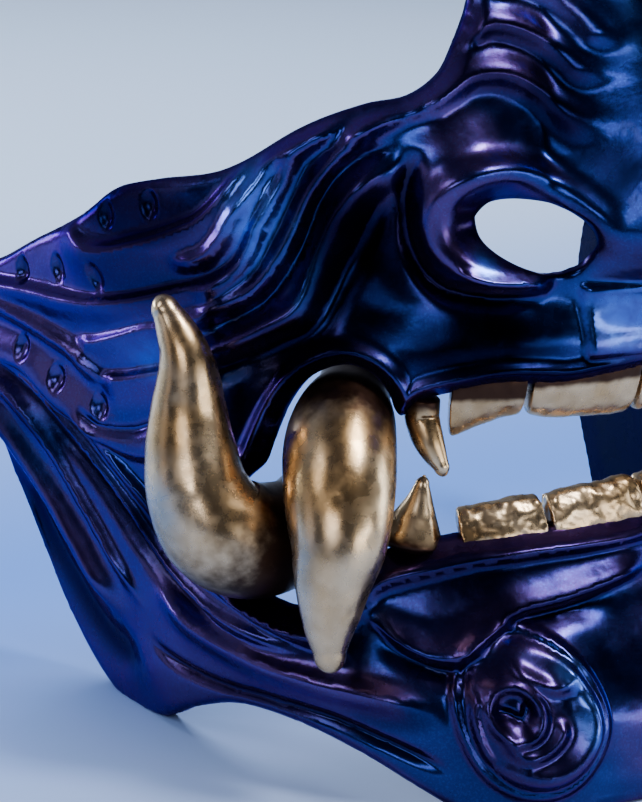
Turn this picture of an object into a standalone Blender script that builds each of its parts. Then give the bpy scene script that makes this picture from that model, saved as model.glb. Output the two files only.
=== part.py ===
"""Oni half mask: a hollow shell with cast relief, and gold teeth, fangs and tusks set in its mouth.

The shell is drawn on a curved base. Its points have two coordinates, in millimetres: the girth u,
measured from the middle of the face round to the side, and the height z. A third number, out, is how
far a point stands off the base, along the level normal. Both halves of the face are mirror images.
"""

import math

import bmesh
import bpy
import numpy as np
from mathutils.geometry import delaunay_2d_cdt

MM = 0.001

# Driving dimensions, in millimetres
HALF_GIRTH = 160.0  # middle of the face to where the side runs straight back
SIDE_HALF_WIDTH = 75.0  # of the plan curve whose girth is measured
FRONT_DEPTH = 112.0  # of the same curve
FACE_ROUNDNESS = 2.3  # superellipse exponent of the plan at mouth and nose
CHIN_ROUNDNESS = 3.2  # the jutting chin is squarer in plan
CHIN_BLEND = (12.0, 55.0)  # heights between which the plan changes from one to the other
LEAN_BACK = 3.0  # degrees that the face leans back as it rests on jaw corners and chin
REST_HEIGHT = 4.53  # of the surface it rests on, once it leans back
DEPTH_CENTRE = 69.5  # brings the middle of the part's depth to the origin
WALL = 4.2
EDGE_ROUND = 2.2  # radius of the shell's outer edges
EDGE_SHARE = 0.8  # how much of that round is taken
GAP = 0.4  # between a tooth and the lip that holds it
FOLD_FADE = 0.18  # share of a fold's length over which each end dies away
CURL_SLOPE = 2.0  # width of the slope round the curl's boss

# How fine the facets are
OUTER_STEP = 4.4
INNER_STEP = 6.5
EDGE_STEP = 3.4
CREST_STEP = 3.6
BORDER_CLEAR = 0.5  # how near a crest point may come to the border, as a share of the crest step
CREST_CLEAR = 0.42  # the same, to another crest point
GRID_CLEAR = 0.62  # how near a grid point may come to any other, as a share of its own step
MIDDLE_CLEAR = 1.2  # how near a crest point may come to the middle line
CURL_POINTS = 24
FOLD_STEP = 1.5  # of the points that a fold's crest is drawn through
FOOT_SHARE = 1.7  # how far a fold's foot lies from its crest, as a share of its width
TUSK_SIDES = 16
TUSK_STEP = 3.5  # between a tusk's sections
FANG_SIDES = 10
FANG_STEP = 1.8
ROUND_ANGLE = 60  # degrees between faces over which an edge is drawn sharp
TOOTH_ANGLE = 50

# How a tusk ends: how far its root bulges, its last section's distance and size, as shares of the radius
BUTT = 0.35
TIP_ROUND = 0.55
TIP_SHRINK = 0.75

# Half width and front depth of the base at each height
WIDTH_ROWS = [(0, 65), (15, 67.5), (36, 71), (60, 75), (90, 77), (148, 77)]
DEPTH_ROWS = [(0, 126), (10, 127), (20, 124), (30, 118), (40, 114), (60, 111), (72, 113.5),
              (80, 111), (95, 108), (110, 105), (125, 102), (148, 98)]

# The nose: how far its ridge stands out, and how far round its side reaches
NOSE_OUT_ROWS = [(74, 0), (80, 4), (86, 13), (92, 19), (98, 19), (106, 17), (116, 14), (128, 11),
                 (148, 8)]
NOSE_REACH_ROWS = [(74, 20), (92, 22), (104, 19), (118, 17), (148, 16)]
NOSE_RIDGE_SHARE = 0.08  # how much of that reach is the blunt ridge
NOSE_FOOT = (73, 78)  # heights where its underside starts and is full

# Half outlines as (u, z), the outer one from the top of the nose round to the middle of the chin.
# Where it dips below the surface that the mask rests on, it is ground flat into a foot.
OUTLINE = [(0, 148), (8, 147.4), (15.5, 144.5), (21.5, 139), (26, 133), (29, 126), (31.5, 121.5),
           (35, 116.5), (41, 113), (49, 111.5), (60, 108), (72, 102), (80, 99.5), (91, 98), (100, 96),
           (109, 91), (116, 88), (124, 85), (134, 81), (140.5, 79), (145, 75.5), (146.6, 70), (146.6, 61),
           (145.4, 50), (142.5, 38), (138.3, 26), (134, 15), (127.5, 5.6), (120, 0.4), (112, 0),
           (106, 2.5), (99, 6.5), (89, 9.7), (77, 9.2), (66, 6), (57.5, 2), (50, -1.5), (42, -3),
           (20, -3), (0, -3)]
MOUTH = [(0, 42), (11, 42), (23, 42), (32, 41.6), (39, 41.2), (46, 40), (53, 38.4), (57, 36.2),
         (61.5, 32), (67.5, 28.8), (75.5, 28.4), (82.3, 31.5), (84.4, 38.2), (82, 44.4), (77.4, 48.2),
         (73.6, 51), (71.3, 54.6), (69, 58.6), (67, 62.2), (64.2, 66.2), (60.5, 68.7), (56.2, 69.5),
         (52, 67.9), (48.9, 64.8), (47.6, 62.1), (46.4, 60.9), (45, 61.7), (43, 63.5), (40.5, 64.4),
         (37, 65.2), (30, 66.3), (24, 66), (18, 65.5), (11, 66), (0, 66.8)]
NOSTRIL = [(31, 93.4), (28.6, 95.6), (24.2, 96.2), (18.6, 95.6), (15, 93), (13.3, 89), (14.6, 85),
           (19, 83.9), (24.4, 85.4), (28.4, 87.7), (30.5, 90.2)]

# Folds cast on the face: height, how wide they run out above and below their crest, and the crest
FOLDS = [
    ("wing lobe 1", 2.8, 1.0, 6.5, [(69.5, 104), (73.3, 98.5), (79.5, 92.8), (84.6, 90.5), (89.9, 88.7),
                                    (95.4, 87.2), (101, 85.9), (106.6, 85.9), (111, 88), (114.5, 91)]),
    ("wing lobe 2", 2.5, 1.0, 3.4, [(72, 86), (78, 82.5), (83.8, 80.7), (91.3, 78.8), (97.6, 77.4),
                                    (104, 76.4), (111, 76), (125, 76.3), (136, 76.1), (149, 77)]),
    ("wing lobe 3", 1.5, 0.9, 3.0, [(84, 74), (92.6, 73.2), (96.6, 72.3), (103.4, 70.2), (108.5, 68.9),
                                    (114, 69)]),
    ("wing lobe 4", 2.0, 1.0, 4.5, [(80, 67), (88, 66.3), (95, 64.6), (101, 63.2), (107.3, 62.7)]),
    ("wing cord", 2.4, 1.5, 1.7, [(103, 62.2), (107.3, 63), (110.6, 65), (114.2, 67.1), (118.9, 68.6),
                                  (124.1, 70.1), (129.2, 71.2), (135, 72.2), (149, 74)]),
    ("wing hem", 2.6, 5.5, 1.1, [(80, 57), (88, 52.4), (95.8, 50.4), (99, 50), (103.3, 50.4), (107.4, 51.7),
                                 (111.5, 53.3), (115.3, 55), (119.3, 56.6), (122.9, 58.8), (127.8, 61.4),
                                 (136.4, 63), (149, 65)]),
    ("hem crease", -1.1, 0.8, 0.8, [(84, 59.5), (94.6, 55.9), (100.2, 54.2), (108.1, 54), (113, 57)]),
    ("cheek strand 1", 2.2, 1.6, 1.6, [(59, 107), (65, 103), (69, 98), (73, 93), (76, 89), (80, 86),
                                       (88, 84)]),
    ("cheek strand 2", 2.5, 1.7, 1.4, [(50, 110.5), (56, 107), (61, 104), (64, 99), (68, 93), (72, 86),
                                       (77, 82), (84, 79)]),
    ("cheek strand 3", 3.0, 2.0, 1.5, [(39, 110), (48, 108), (56, 101), (60, 96), (64, 89), (70, 82),
                                       (78, 78), (83, 75.5), (94, 73.5)]),
    ("cheek strand 4", 3.8, 1.9, 2.4, [(42, 102.5), (49, 100), (55, 94), (59, 87), (63, 79.5), (70, 75.5),
                                       (80, 71), (90, 69)]),
    ("cheek groove", -1.6, 1.0, 1.0, [(42, 106), (52, 102.5), (58, 96.5), (63, 87.5), (70, 79.5),
                                      (77, 76), (86, 73.5)]),
    ("cheek crease", -2.0, 1.4, 3.0, [(41, 99), (47, 96), (52, 89), (57, 82), (62, 75.5), (70, 72),
                                      (78, 68.5), (86, 64)]),
    ("brow line", 1.2, 1.2, 1.2, [(38, 111.5), (45, 109.5), (53, 106.5)]),
    ("snarl fold 1", 3.0, 3.4, 2.3, [(12, 104), (14, 108.5), (17, 112.5), (21, 115.4), (25, 116.8),
                                     (30, 116.6), (34, 114.5), (38, 112.4), (43, 111)]),
    ("snarl fold 2", 2.8, 3.2, 2.2, [(11, 113), (13, 117.5), (16.5, 121.5), (22, 124), (27, 124.4),
                                     (32, 121)]),
    ("snarl fold 3", 2.2, 3.0, 2.4, [(8.5, 119), (11, 125), (15, 129.5), (20, 131.4), (27, 131)]),
    ("nose keel", 1.2, 1.6, 1.6, [(0, 112), (0, 122), (0, 134), (0, 148)]),
    ("nostril crease", -2.4, 1.3, 1.7, [(21, 80), (27, 80.5), (34, 81), (39.4, 82.8), (42.5, 88), (43.2, 94),
                                        (42.3, 100), (39.6, 105.5)]),
    ("nostril sill", 1.4, 1.0, 1.4, [(19, 82.5), (25, 83), (31, 83.5), (37, 85.5)]),
    ("jaw rear bevel", -2.0, 4.5, 4.5, [(110, 14), (116, 12), (122, 14), (128, 20), (134, 29), (140, 41)]),
    ("jaw ridge 1", 2.8, 3.1, 3.1, [(114.5, 17.5), (116.9, 21.4), (119.4, 25.7), (122.5, 30.6),
                                    (127, 36.7), (132.3, 42), (139, 48), (148, 54)]),
    ("jaw ridge 2", 1.9, 1.3, 1.5, [(107.5, 21), (109.3, 24.4), (111.5, 28.5), (114.7, 33.7), (119, 39.8),
                                    (124, 46.2), (130, 51.5), (138, 56), (149, 59.5)]),
    ("jaw valley", -1.8, 2.0, 2.0, [(84, 21.6), (91, 23.4), (97.5, 27), (103, 32), (108.5, 38.6),
                                    (114, 44.6), (120, 49.5), (127.5, 55), (137, 58.8), (149, 62)]),
    ("jaw strand 1", 1.8, 1.2, 1.2, [(70, 22.3), (80, 22.9), (89, 25), (95.5, 28.6), (101, 33.3),
                                     (106.5, 40.4), (112, 46.6), (118.5, 52.6), (126, 57.6), (135, 61),
                                     (149, 64.5)]),
    ("jaw strand 2", 2.1, 1.2, 1.3, [(62, 23.5), (71.9, 25), (76.7, 26.6), (82.7, 28.6), (88.3, 31),
                                     (93.6, 34.6), (98.4, 39), (104.5, 45.2), (109.5, 51), (116, 55.5)]),
    ("jaw ridge 3", 2.6, 1.6, 3.0, [(50, 15.6), (60, 17.4), (71.5, 18.2), (80, 18.9), (87, 20.2),
                                    (94, 22.2), (99, 24.4), (104, 27.4)]),
    ("jaw groove", -1.8, 0.9, 1.1, [(50, 4.6), (56, 7.2), (63, 9.6), (71.5, 11.8), (82, 12.5), (91.5, 12.4),
                                    (99, 13.3), (105, 15.2), (109, 18)]),
    ("lip ledge", 0.9, 0.9, 1.6, [(0, 39), (22, 39), (32, 38.6), (43, 37), (54, 34.5), (61, 31)]),
    ("lip fold", 2.3, 2.6, 1.2, [(0, 34.5), (8, 34), (16, 32.7), (25, 31.4), (32.5, 30.4), (37.5, 28.4),
                                 (43.5, 25.2), (49, 24), (54, 25.8), (57.5, 28.6), (61, 31.4)]),
    ("lip crease", -1.8, 1.2, 1.9, [(12, 30.2), (24, 28.7), (32, 27.8), (37, 25.8), (42.5, 22.6),
                                    (49, 21), (55, 22.8), (60, 26)]),
]

# The curl on the side of the chin: a round boss that carries a coiled arm, a ring and a bead
CURL_CENTRE = (35.8, 14.4)
BOSS = (12.8, 1.7)  # radius and height
BOSS_GROOVE = (12.1, 0.9, -1.1)  # radius, width and height
ARM_TURN = (143.0, 322.0)  # degrees where it starts and ends
ARM_RADII = (10.2, 8.8)  # at the same ends
ARM = (2.5, 2.3)  # width and height
RING = (39.3, 15.8, 4.3, 1.2, 1.8)  # u, z, radius, width and height
BEAD = (27.6, 20.8, 2.3, 2.2)  # u, z, radius and height

# Broad hollows and swellings: u, z, reach in u, reach in z, height
SWELLINGS = [
    ("cheek hollow", 51, 84, 10, 12, -3.4),
    ("nose wing", 34, 103, 10, 8, 3.4),
    ("lower lip", 28, 35, 30, 5, 1.4),
    ("jaw corner", 106, 8, 9, 8, 1.5),
    ("jaw side hollow", 96, 40, 12, 9, -1.5),
    ("chin ball", 0, 12, 16, 12, 3.0),
    ("chin foot", 0, -3, 60, 9, 3.5),
]

# The flared ring round the nostril, and the lip band below the nose
FUNNEL_CENTRE = (27.3, 92.7)
FUNNEL_REACH = (12.2, 9.0)
FUNNEL_RISE = 3.8
FUNNEL_DROP = 3.0
FUNNEL_RIM = (0.26, 0.6)  # widths of its rim outwards and inwards, as shares of its reach
FUNNEL_WALL = (0.35, 0.9)  # shares of its reach between which its wall falls
PHILTRUM_HALF_WIDTH = 15.5
PHILTRUM_HEIGHTS = (71.0, 83.0)
PHILTRUM_OUT = 2.0
PHILTRUM_EDGE = 1.6  # width of the slope round it
LIP_ROLL = (2.5, 1.4, 1.8)  # distance of the roll's crest from the mouth, its width and height

# Tusks: a row for each section, as u, z, out and radius of its centre
UPPER_TUSK = [(56.4, 64.6, -10.4, 4.2), (56.5, 63.2, -7.4, 6.3), (56.5, 60.4, -2.2, 8.3),
              (56.6, 56.4, 3.2, 9.3), (56.4, 50.5, 8.9, 9.2), (56.9, 43.5, 12.2, 8.0),
              (59.1, 36.5, 12.2, 6.2), (61.5, 30, 10.7, 4.3), (63.2, 25.8, 9.3, 2.7)]
LOWER_TUSK = [(68.6, 41.6, -10, 6.4), (70, 40.4, -6, 8.6), (72, 39.6, -1.2, 9.2), (74.8, 39.9, 5.0, 9.8),
              (77.4, 43, 9.9, 9.6), (79, 48.8, 11.6, 8.6), (79.5, 55.5, 11.2, 7.6), (79.8, 62.5, 10.2, 6.3),
              (80.6, 69.5, 9.5, 4.8), (82.2, 75.6, 9.3, 3.3), (83.2, 78.4, 9.4, 2.4)]
UPPER_FANG = [(42.6, 61.6, -2.5, 1.9), (42.6, 60.1, -2.3, 2.9), (41.6, 56.4, -0.9, 2.5),
              (40.2, 52.7, 0, 1.5)]
LOWER_FANG = [(47.0, 42.1, -2.7, 4.6), (46.1, 44, -2.3, 3.7), (44.9, 46.6, -1.6, 2.4),
              (43.8, 49.4, -1.2, 1.3)]

# Flat teeth: girth of both ends, length below or above the lip at both ends, out of front and back
UPPER_TEETH = [("upper_front_tooth", 0.3, 23.4, 8.6, 5.8, -0.8, -5.0),
               ("upper_side_tooth", 24.2, 38.1, 5.9, 8.6, -0.8, -5.0)]
LOWER_TEETH = [("lower_front_tooth", 0.3, 21.2, 6.0, 5.0, -0.4, -5.2),
               ("lower_side_tooth", 22, 38.8, 5.2, 4.0, -0.4, -5.2)]
TOOTH_COLUMNS = 7
TOOTH_END_SHARE = 0.86  # length of a tooth's end columns, which softens its corners
# Section of a tooth as shares of its length and of its thickness, from the front of its root
TOOTH_PROFILE = [(0, 0), (0.45, -0.08), (0.8, 0), (1, 0.35), (1, 0.75), (0.7, 1), (0, 1)]
FANG_GIRTH = 42.0  # the flat teeth end before this girth
MOUTH_MIDDLE = 53.0  # height between the upper and the lower teeth

COLOURS = {
    "blue": ((0.012, 0.02, 0.16, 1), 0.24, 0.9),
    "gold": ((0.62, 0.44, 0.22, 1), 0.38, 0.95),
}


# Small tools for tables and curves
def table(rows, at):
    """Smooth values read from a table of (place, value) rows, held past its ends."""
    places, values = np.array(rows, float).T
    spans = np.diff(places)
    slopes = np.diff(values) / spans
    product = slopes[:-1] * slopes[1:]
    total = np.where(product > 0, slopes[:-1] + slopes[1:], 1.0)
    tangents = np.empty(len(places))
    tangents[1:-1] = np.where(product > 0, 2 * product / total, 0.0)
    tangents[0], tangents[-1] = slopes[0], slopes[-1]
    at = np.clip(at, places[0], places[-1])
    row = np.clip(np.searchsorted(places, at, side="right") - 1, 0, len(spans) - 1)
    t = (at - places[row]) / spans[row]
    start = (1 + 2 * t) * (1 - t) ** 2 * values[row] + t * (1 - t) ** 2 * spans[row] * tangents[row]
    end = t * t * (3 - 2 * t) * values[row + 1] + t * t * (t - 1) * spans[row] * tangents[row + 1]
    return start + end


def ease(low, high, at):
    """0 below low, 1 above high, smooth between."""
    t = np.clip((at - low) / (high - low), 0, 1)
    return t * t * (3 - 2 * t)


def curve(points, step):
    """A smooth line through the points, sampled about every step."""
    points = np.array(points, float)
    padded = np.vstack([2 * points[0] - points[1], points, 2 * points[-1] - points[-2]])
    sampled = []
    for before, start, end, after in zip(padded, padded[1:], padded[2:], padded[3:]):
        count = max(1, round(float(np.linalg.norm((end - start)[:2])) / step))
        t = np.arange(count)[:, None] / count
        left, right = (end - before) / 2, (after - start) / 2
        sampled.append((1 + 2 * t) * (1 - t) ** 2 * start + t * (1 - t) ** 2 * left
                       + t * t * (3 - 2 * t) * end + t * t * (t - 1) * right)
    return np.vstack(sampled + [points[-1:]])


def beside(u, z, line):
    """Distance of each point to a line, positive on its left, and how far along it, from 0 to 1."""
    nearest = np.full(u.shape, np.inf)
    side, along = np.zeros(u.shape), np.zeros(u.shape)
    lengths = np.linalg.norm(np.diff(line, axis=0), axis=1)
    starts = np.concatenate([[0], np.cumsum(lengths)])
    for (u0, z0), (u1, z1), length, start in zip(line, line[1:], lengths, starts):
        du, dz = (u1 - u0) / length, (z1 - z0) / length
        reach = np.clip((u - u0) * du + (z - z0) * dz, 0, length)
        away_u, away_z = u - u0 - reach * du, z - z0 - reach * dz
        square = away_u**2 + away_z**2
        closer = square < nearest
        nearest = np.where(closer, square, nearest)
        side = np.where(closer, np.sign(du * away_z - dz * away_u), side)
        along = np.where(closer, (start + reach) / starts[-1], along)
    return np.sqrt(nearest) * np.where(side == 0, 1, side), along


def inside(points, outline):
    """Which points lie inside a closed outline."""
    found = np.zeros(len(points), bool)
    for (u0, z0), (u1, z1) in zip(outline, np.roll(outline, -1, axis=0)):
        if z0 == z1:
            continue
        crosses = (z0 > points[:, 1]) != (z1 > points[:, 1])
        found ^= crosses & (points[:, 0] < (u1 - u0) * (points[:, 1] - z0) / (z1 - z0) + u0)
    return found


# The curved base
def quarter_plan(roundness):
    """A quarter of a superellipse, as its side and front reach at each share of its own girth."""
    angle = np.linspace(0, math.pi / 2, 3000)
    side = np.sin(angle) ** (2 / roundness)
    front = np.cos(angle) ** (2 / roundness)
    steps = np.hypot(np.diff(side) * SIDE_HALF_WIDTH, np.diff(front) * FRONT_DEPTH)
    girth = np.concatenate([[0], np.cumsum(steps)])
    return girth / girth[-1], side, front


FACE_PLAN = quarter_plan(FACE_ROUNDNESS)
CHIN_PLAN = quarter_plan(CHIN_ROUNDNESS)


def base_point(s, z):
    """Point of the base at signed girth s and height z: right, forward and up, in millimetres."""
    share = np.abs(s) / HALF_GIRTH
    face = ease(*CHIN_BLEND, z)
    side, front = (
        np.interp(share, FACE_PLAN[0], FACE_PLAN[i]) * face
        + np.interp(share, CHIN_PLAN[0], CHIN_PLAN[i]) * (1 - face)
        for i in (1, 2)
    )
    right = np.sign(s) * side * table(WIDTH_ROWS, z)
    forward = front * table(DEPTH_ROWS, z) - np.maximum(np.abs(s) - HALF_GIRTH, 0)
    return np.stack([right, forward, z + 0 * right], axis=-1)


def place(s, z, out):
    """Point that stands out from the base along its level normal."""
    s, z = np.asarray(s, float), np.asarray(z, float)
    tangent = base_point(s + 0.5, z) - base_point(s - 0.5, z)
    normal = np.stack([-tangent[..., 1], tangent[..., 0], 0 * tangent[..., 2]], axis=-1)
    normal /= np.linalg.norm(normal, axis=-1, keepdims=True)
    return base_point(s, z) + np.asarray(out)[..., None] * normal


def to_world(points):
    """Leans the face back on its feet, turns it to look along -Y and grinds its feet flat, in metres."""
    right, forward, up = np.moveaxis(np.asarray(points, float), -1, 0)
    lean = math.radians(LEAN_BACK)
    height = up * math.cos(lean) + forward * math.sin(lean) - REST_HEIGHT
    depth = forward * math.cos(lean) - up * math.sin(lean)
    return np.stack([right, DEPTH_CENTRE - depth, np.maximum(height, 0)], axis=-1) * MM


# Relief, as how far it stands out at girth u and height z
def nose_out(u, z):
    reach = table(NOSE_REACH_ROWS, z)
    return table(NOSE_OUT_ROWS, z) * (1 - ease(NOSE_RIDGE_SHARE, 1, u / reach)) * ease(*NOSE_FOOT, z)


def swellings_out(u, z):
    total = np.zeros(u.shape)
    for _, centre_u, centre_z, reach_u, reach_z, height in SWELLINGS:
        total += height * np.exp(-(((u - centre_u) / reach_u) ** 2) - ((z - centre_z) / reach_z) ** 2)
    return total


def funnel_out(u, z):
    """A ring that rises round the nostril and falls into it."""
    span = np.hypot((u - FUNNEL_CENTRE[0]) / FUNNEL_REACH[0], (z - FUNNEL_CENTRE[1]) / FUNNEL_REACH[1])
    rim = FUNNEL_RISE * np.exp(-(((span - 1) / np.where(span > 1, *FUNNEL_RIM)) ** 2))
    return rim - FUNNEL_DROP * (1 - ease(*FUNNEL_WALL, span))


def philtrum_out(u, z):
    low, high = PHILTRUM_HEIGHTS
    across = 1 - ease(PHILTRUM_HALF_WIDTH - PHILTRUM_EDGE, PHILTRUM_HALF_WIDTH, u)
    upright = ease(low - PHILTRUM_EDGE, low, z) * (1 - ease(high - PHILTRUM_EDGE, high, z))
    return PHILTRUM_OUT * across * upright


def broad_out(u, z):
    """The main forms, which the inside of the shell follows too."""
    return nose_out(u, z) + swellings_out(u, z) + funnel_out(u, z)


def curl_line():
    """Crest of the coiled arm, from the bead round to its end above the ring."""
    angles = np.radians(np.linspace(*ARM_TURN, CURL_POINTS))
    radii = np.linspace(*ARM_RADII, CURL_POINTS)
    return np.stack([CURL_CENTRE[0] + radii * np.cos(angles), CURL_CENTRE[1] + radii * np.sin(angles)], 1)


def fold_out(u, z, height, above, below, line):
    distance, along = beside(u, z, line)
    width = np.where(distance > 0, above, below)
    fade = ease(0, FOLD_FADE, along) * (1 - ease(1 - FOLD_FADE, 1, along))
    return height * np.exp(-((distance / width) ** 2)) * fade


def curl_out(u, z):
    reach = np.hypot(u - CURL_CENTRE[0], z - CURL_CENTRE[1])
    boss_radius, boss_height = BOSS
    total = boss_height * (1 - ease(boss_radius, boss_radius + CURL_SLOPE, reach))
    groove_radius, groove_width, groove_height = BOSS_GROOVE
    total += groove_height * np.exp(-(((reach - groove_radius) / groove_width) ** 2))
    ring_u, ring_z, ring_radius, ring_width, ring_height = RING
    away = np.hypot(u - ring_u, z - ring_z) - ring_radius
    total += ring_height * np.exp(-((away / ring_width) ** 2))
    bead_u, bead_z, bead_radius, bead_height = BEAD
    total += bead_height * np.exp(-(((u - bead_u) ** 2 + (z - bead_z) ** 2) / bead_radius**2))
    arm_width, arm_height = ARM
    return total + fold_out(u, z, arm_height, arm_width, arm_width, curl_line())


def fine_out(u, z):
    """The cast relief that only the outside has."""
    total = philtrum_out(u, z) + curl_out(u, z)
    for _, height, above, below, points in FOLDS:
        total += fold_out(u, z, height, above, below, curve(points, FOLD_STEP))
    distance, _ = beside(u, z, MOUTH_LINE)
    crest, width, rise = LIP_ROLL
    return total + rise * np.exp(-(((np.abs(distance) - crest) / width) ** 2))


# The sheet that the shell is made of, as a flat pattern
OUTER_LINE = curve(OUTLINE, EDGE_STEP)
MOUTH_LINE = curve(MOUTH, EDGE_STEP)
NOSTRIL_LINE = curve(NOSTRIL + NOSTRIL[:1], EDGE_STEP)[:-1]


def edge_distance(u, z):
    """Distance to the nearest edge of the shell."""
    lines = (OUTER_LINE, MOUTH_LINE, np.vstack([NOSTRIL_LINE, NOSTRIL_LINE[:1]]))
    return np.min([np.abs(beside(u, z, line)[0]) for line in lines], axis=0)


def outer_out(u, z):
    near = np.minimum(edge_distance(u, z), EDGE_ROUND)
    rounding = EDGE_ROUND - np.sqrt(EDGE_ROUND**2 - (EDGE_ROUND - near) ** 2)
    return broad_out(u, z) + fine_out(u, z) * ease(0, EDGE_ROUND, near) - EDGE_SHARE * rounding


def inner_out(u, z):
    return broad_out(u, z) - WALL


def half_pattern(step, crests):
    """Triangles of the right half of the sheet, on points about a step apart and along the crests."""
    nose_top, lip_top = OUTER_LINE[0], MOUTH_LINE[-1]
    lip_bottom, chin = MOUTH_LINE[0], OUTER_LINE[-1]
    upper_middle = middle_points(lip_top, nose_top, step)
    lower_middle = middle_points(chin, lip_bottom, step)
    border = np.vstack([OUTER_LINE, lower_middle, MOUTH_LINE, upper_middle])
    placed = np.vstack([border, NOSTRIL_LINE])
    links = loop_edges(0, len(border)) + loop_edges(len(border), len(NOSTRIL_LINE))
    for crest in crests:
        clear = edge_distance(crest[:, 0], crest[:, 1]) > BORDER_CLEAR * CREST_STEP
        clear &= inside(crest, border) & ~inside(crest, NOSTRIL_LINE) & (crest[:, 0] > MIDDLE_CLEAR)
        clear &= spacing(crest, placed) > CREST_CLEAR * CREST_STEP
        numbers = np.where(clear, len(placed) + np.cumsum(clear) - 1, -1)
        links += [(a, b) for a, b in zip(numbers.tolist(), numbers[1:].tolist()) if a >= 0 and b >= 0]
        placed = np.vstack([placed, crest[clear]])
    row = step * math.sqrt(3) / 2
    low, high, far = chin[1], nose_top[1], OUTER_LINE[:, 0].max()
    grid = np.array([((i + 0.5 * (j % 2) + 0.5) * step, low + j * row)
                     for j in range(int((high - low) / row)) for i in range(int(far / step))])
    grid = grid[inside(grid, border) & ~inside(grid, NOSTRIL_LINE)]
    points = np.vstack([placed, grid[spacing(grid, placed) > GRID_CLEAR * step]])
    made, _, faces, *_ = delaunay_2d_cdt(points.tolist(), links, [], 0, 1e-4)
    made = np.array([tuple(point) for point in made])
    middles = np.array([made[list(face)].mean(axis=0) for face in faces])
    kept = inside(middles, border) & ~inside(middles, NOSTRIL_LINE)
    return made, np.array([face for face, keep in zip(faces, kept) if keep])


def middle_points(start, end, step):
    """Points between two ends on the middle line."""
    return np.linspace(start, end, round(abs(end[1] - start[1]) / step) + 1)[1:-1]


def spacing(points, others):
    """Distance of each point to the nearest of the others."""
    return np.array([np.min(np.hypot(*(others - point).T)) for point in points])


def loop_edges(first, count):
    return [(first + i, first + (i + 1) % count) for i in range(count)]


def mirrored(points, faces):
    """Both halves of a half pattern, sharing the points of the middle line."""
    on_middle = points[:, 0] < 1e-6
    twin = np.where(on_middle, np.arange(len(points)), 0)
    twin[~on_middle] = len(points) + np.arange((~on_middle).sum())
    both = np.vstack([points, points[~on_middle] * (-1, 1)])
    return both, np.vstack([faces, twin[faces[:, ::-1]]])


def border_edges(faces):
    """Edges that only one triangle uses, in that triangle's direction."""
    edges = np.concatenate([faces[:, [0, 1]], faces[:, [1, 2]], faces[:, [2, 0]]])
    known = {tuple(edge) for edge in edges.tolist()}
    return [edge for edge in known if (edge[1], edge[0]) not in known]


def circle(u, z, radius):
    """Points round a circle of the pattern, about a crest step apart."""
    turn = np.linspace(0, 2 * math.pi, round(2 * math.pi * radius / CREST_STEP) + 1)
    return np.stack([u + radius * np.cos(turn), z + radius * np.sin(turn)], 1)


def fold_lines():
    """The lines of the curl, the crest of every fold, then the foot on either side of it."""
    ring_u, ring_z, ring_radius = RING[:3]
    crests = [circle(ring_u, ring_z, ring_radius), curl_line()[::2], circle(*CURL_CENTRE, BOSS_GROOVE[0]),
              circle(*CURL_CENTRE, BOSS[0] + CURL_SLOPE)]
    feet = []
    for _, _, above, below, points in FOLDS:
        crest = curve(points, CREST_STEP)
        along = np.gradient(crest, axis=0)
        across = np.stack([-along[:, 1], along[:, 0]], 1) / np.linalg.norm(along, axis=1)[:, None]
        crests.append(crest)
        feet += [crest + across * above * FOOT_SHARE, crest - across * below * FOOT_SHARE]
    return crests + feet


def shell_mesh():
    crests = fold_lines()
    sheets = []
    for step, lines, out in ((OUTER_STEP, crests, outer_out), (INNER_STEP, [], inner_out)):
        pattern, faces = mirrored(*half_pattern(step, lines))
        u, z = np.abs(pattern[:, 0]), pattern[:, 1]
        sheets.append((pattern, faces, to_world(place(pattern[:, 0], z, out(u, z)))))
    (outer_pattern, outer_faces, outer), (inner_pattern, inner_faces, inner) = sheets
    key = {tuple(np.round(point, 4)): i + len(outer) for i, point in enumerate(inner_pattern)}
    wall = []
    for start, end in border_edges(outer_faces):
        low_start, low_end = (key[tuple(np.round(outer_pattern[i], 4))] for i in (start, end))
        wall += [(end, start, low_start), (end, low_start, low_end)]
    faces = outer_faces.tolist() + (inner_faces[:, ::-1] + len(outer)).tolist() + wall
    return np.vstack([outer, inner]), faces


# Teeth, fangs and tusks
def tube(centres, radii, sides):
    """Rings round a bent line, closed by a point at each end."""
    centres = np.asarray(centres, float)
    along = np.gradient(centres, axis=0)
    along /= np.linalg.norm(along, axis=1, keepdims=True)
    side = np.cross(along[0], (0.0, 0.0, 1.0))
    points, faces = [centres[0] - along[0] * radii[0] * BUTT], []
    for centre, direction, radius in zip(centres, along, radii):
        side = side - direction * np.dot(side, direction)
        side /= np.linalg.norm(side)
        other = np.cross(direction, side)
        for k in range(sides):
            angle = 2 * math.pi * k / sides
            points.append(centre + radius * (math.cos(angle) * side + math.sin(angle) * other))
    points.append(centres[-1] + along[-1] * radii[-1])
    last = len(points) - 1
    for k in range(sides):
        after = (k + 1) % sides
        faces.append((0, 1 + after, 1 + k))
        for ring in range(len(centres) - 1):
            a, b = 1 + ring * sides, 1 + (ring + 1) * sides
            faces += [(a + k, a + after, b + after), (a + k, b + after, b + k)]
        faces.append((last, last - sides + k, last - sides + after))
    return np.array(points), faces


def tusk_mesh(rows, mirror, step, sides):
    """A tapered, bent tusk through its table of sections."""
    sections = curve(rows, step)
    u, z, out, radius = sections[-1]
    run = (sections[-1] - sections[-2])[:3]
    run *= TIP_ROUND * radius / np.linalg.norm(run)
    sections = np.vstack([sections, [u + run[0], z + run[1], out + run[2], radius * TIP_SHRINK]])
    centres = to_world(place(mirror * sections[:, 0], sections[:, 1], sections[:, 2]))
    return tube(centres, sections[:, 3] * MM, sides)


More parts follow.
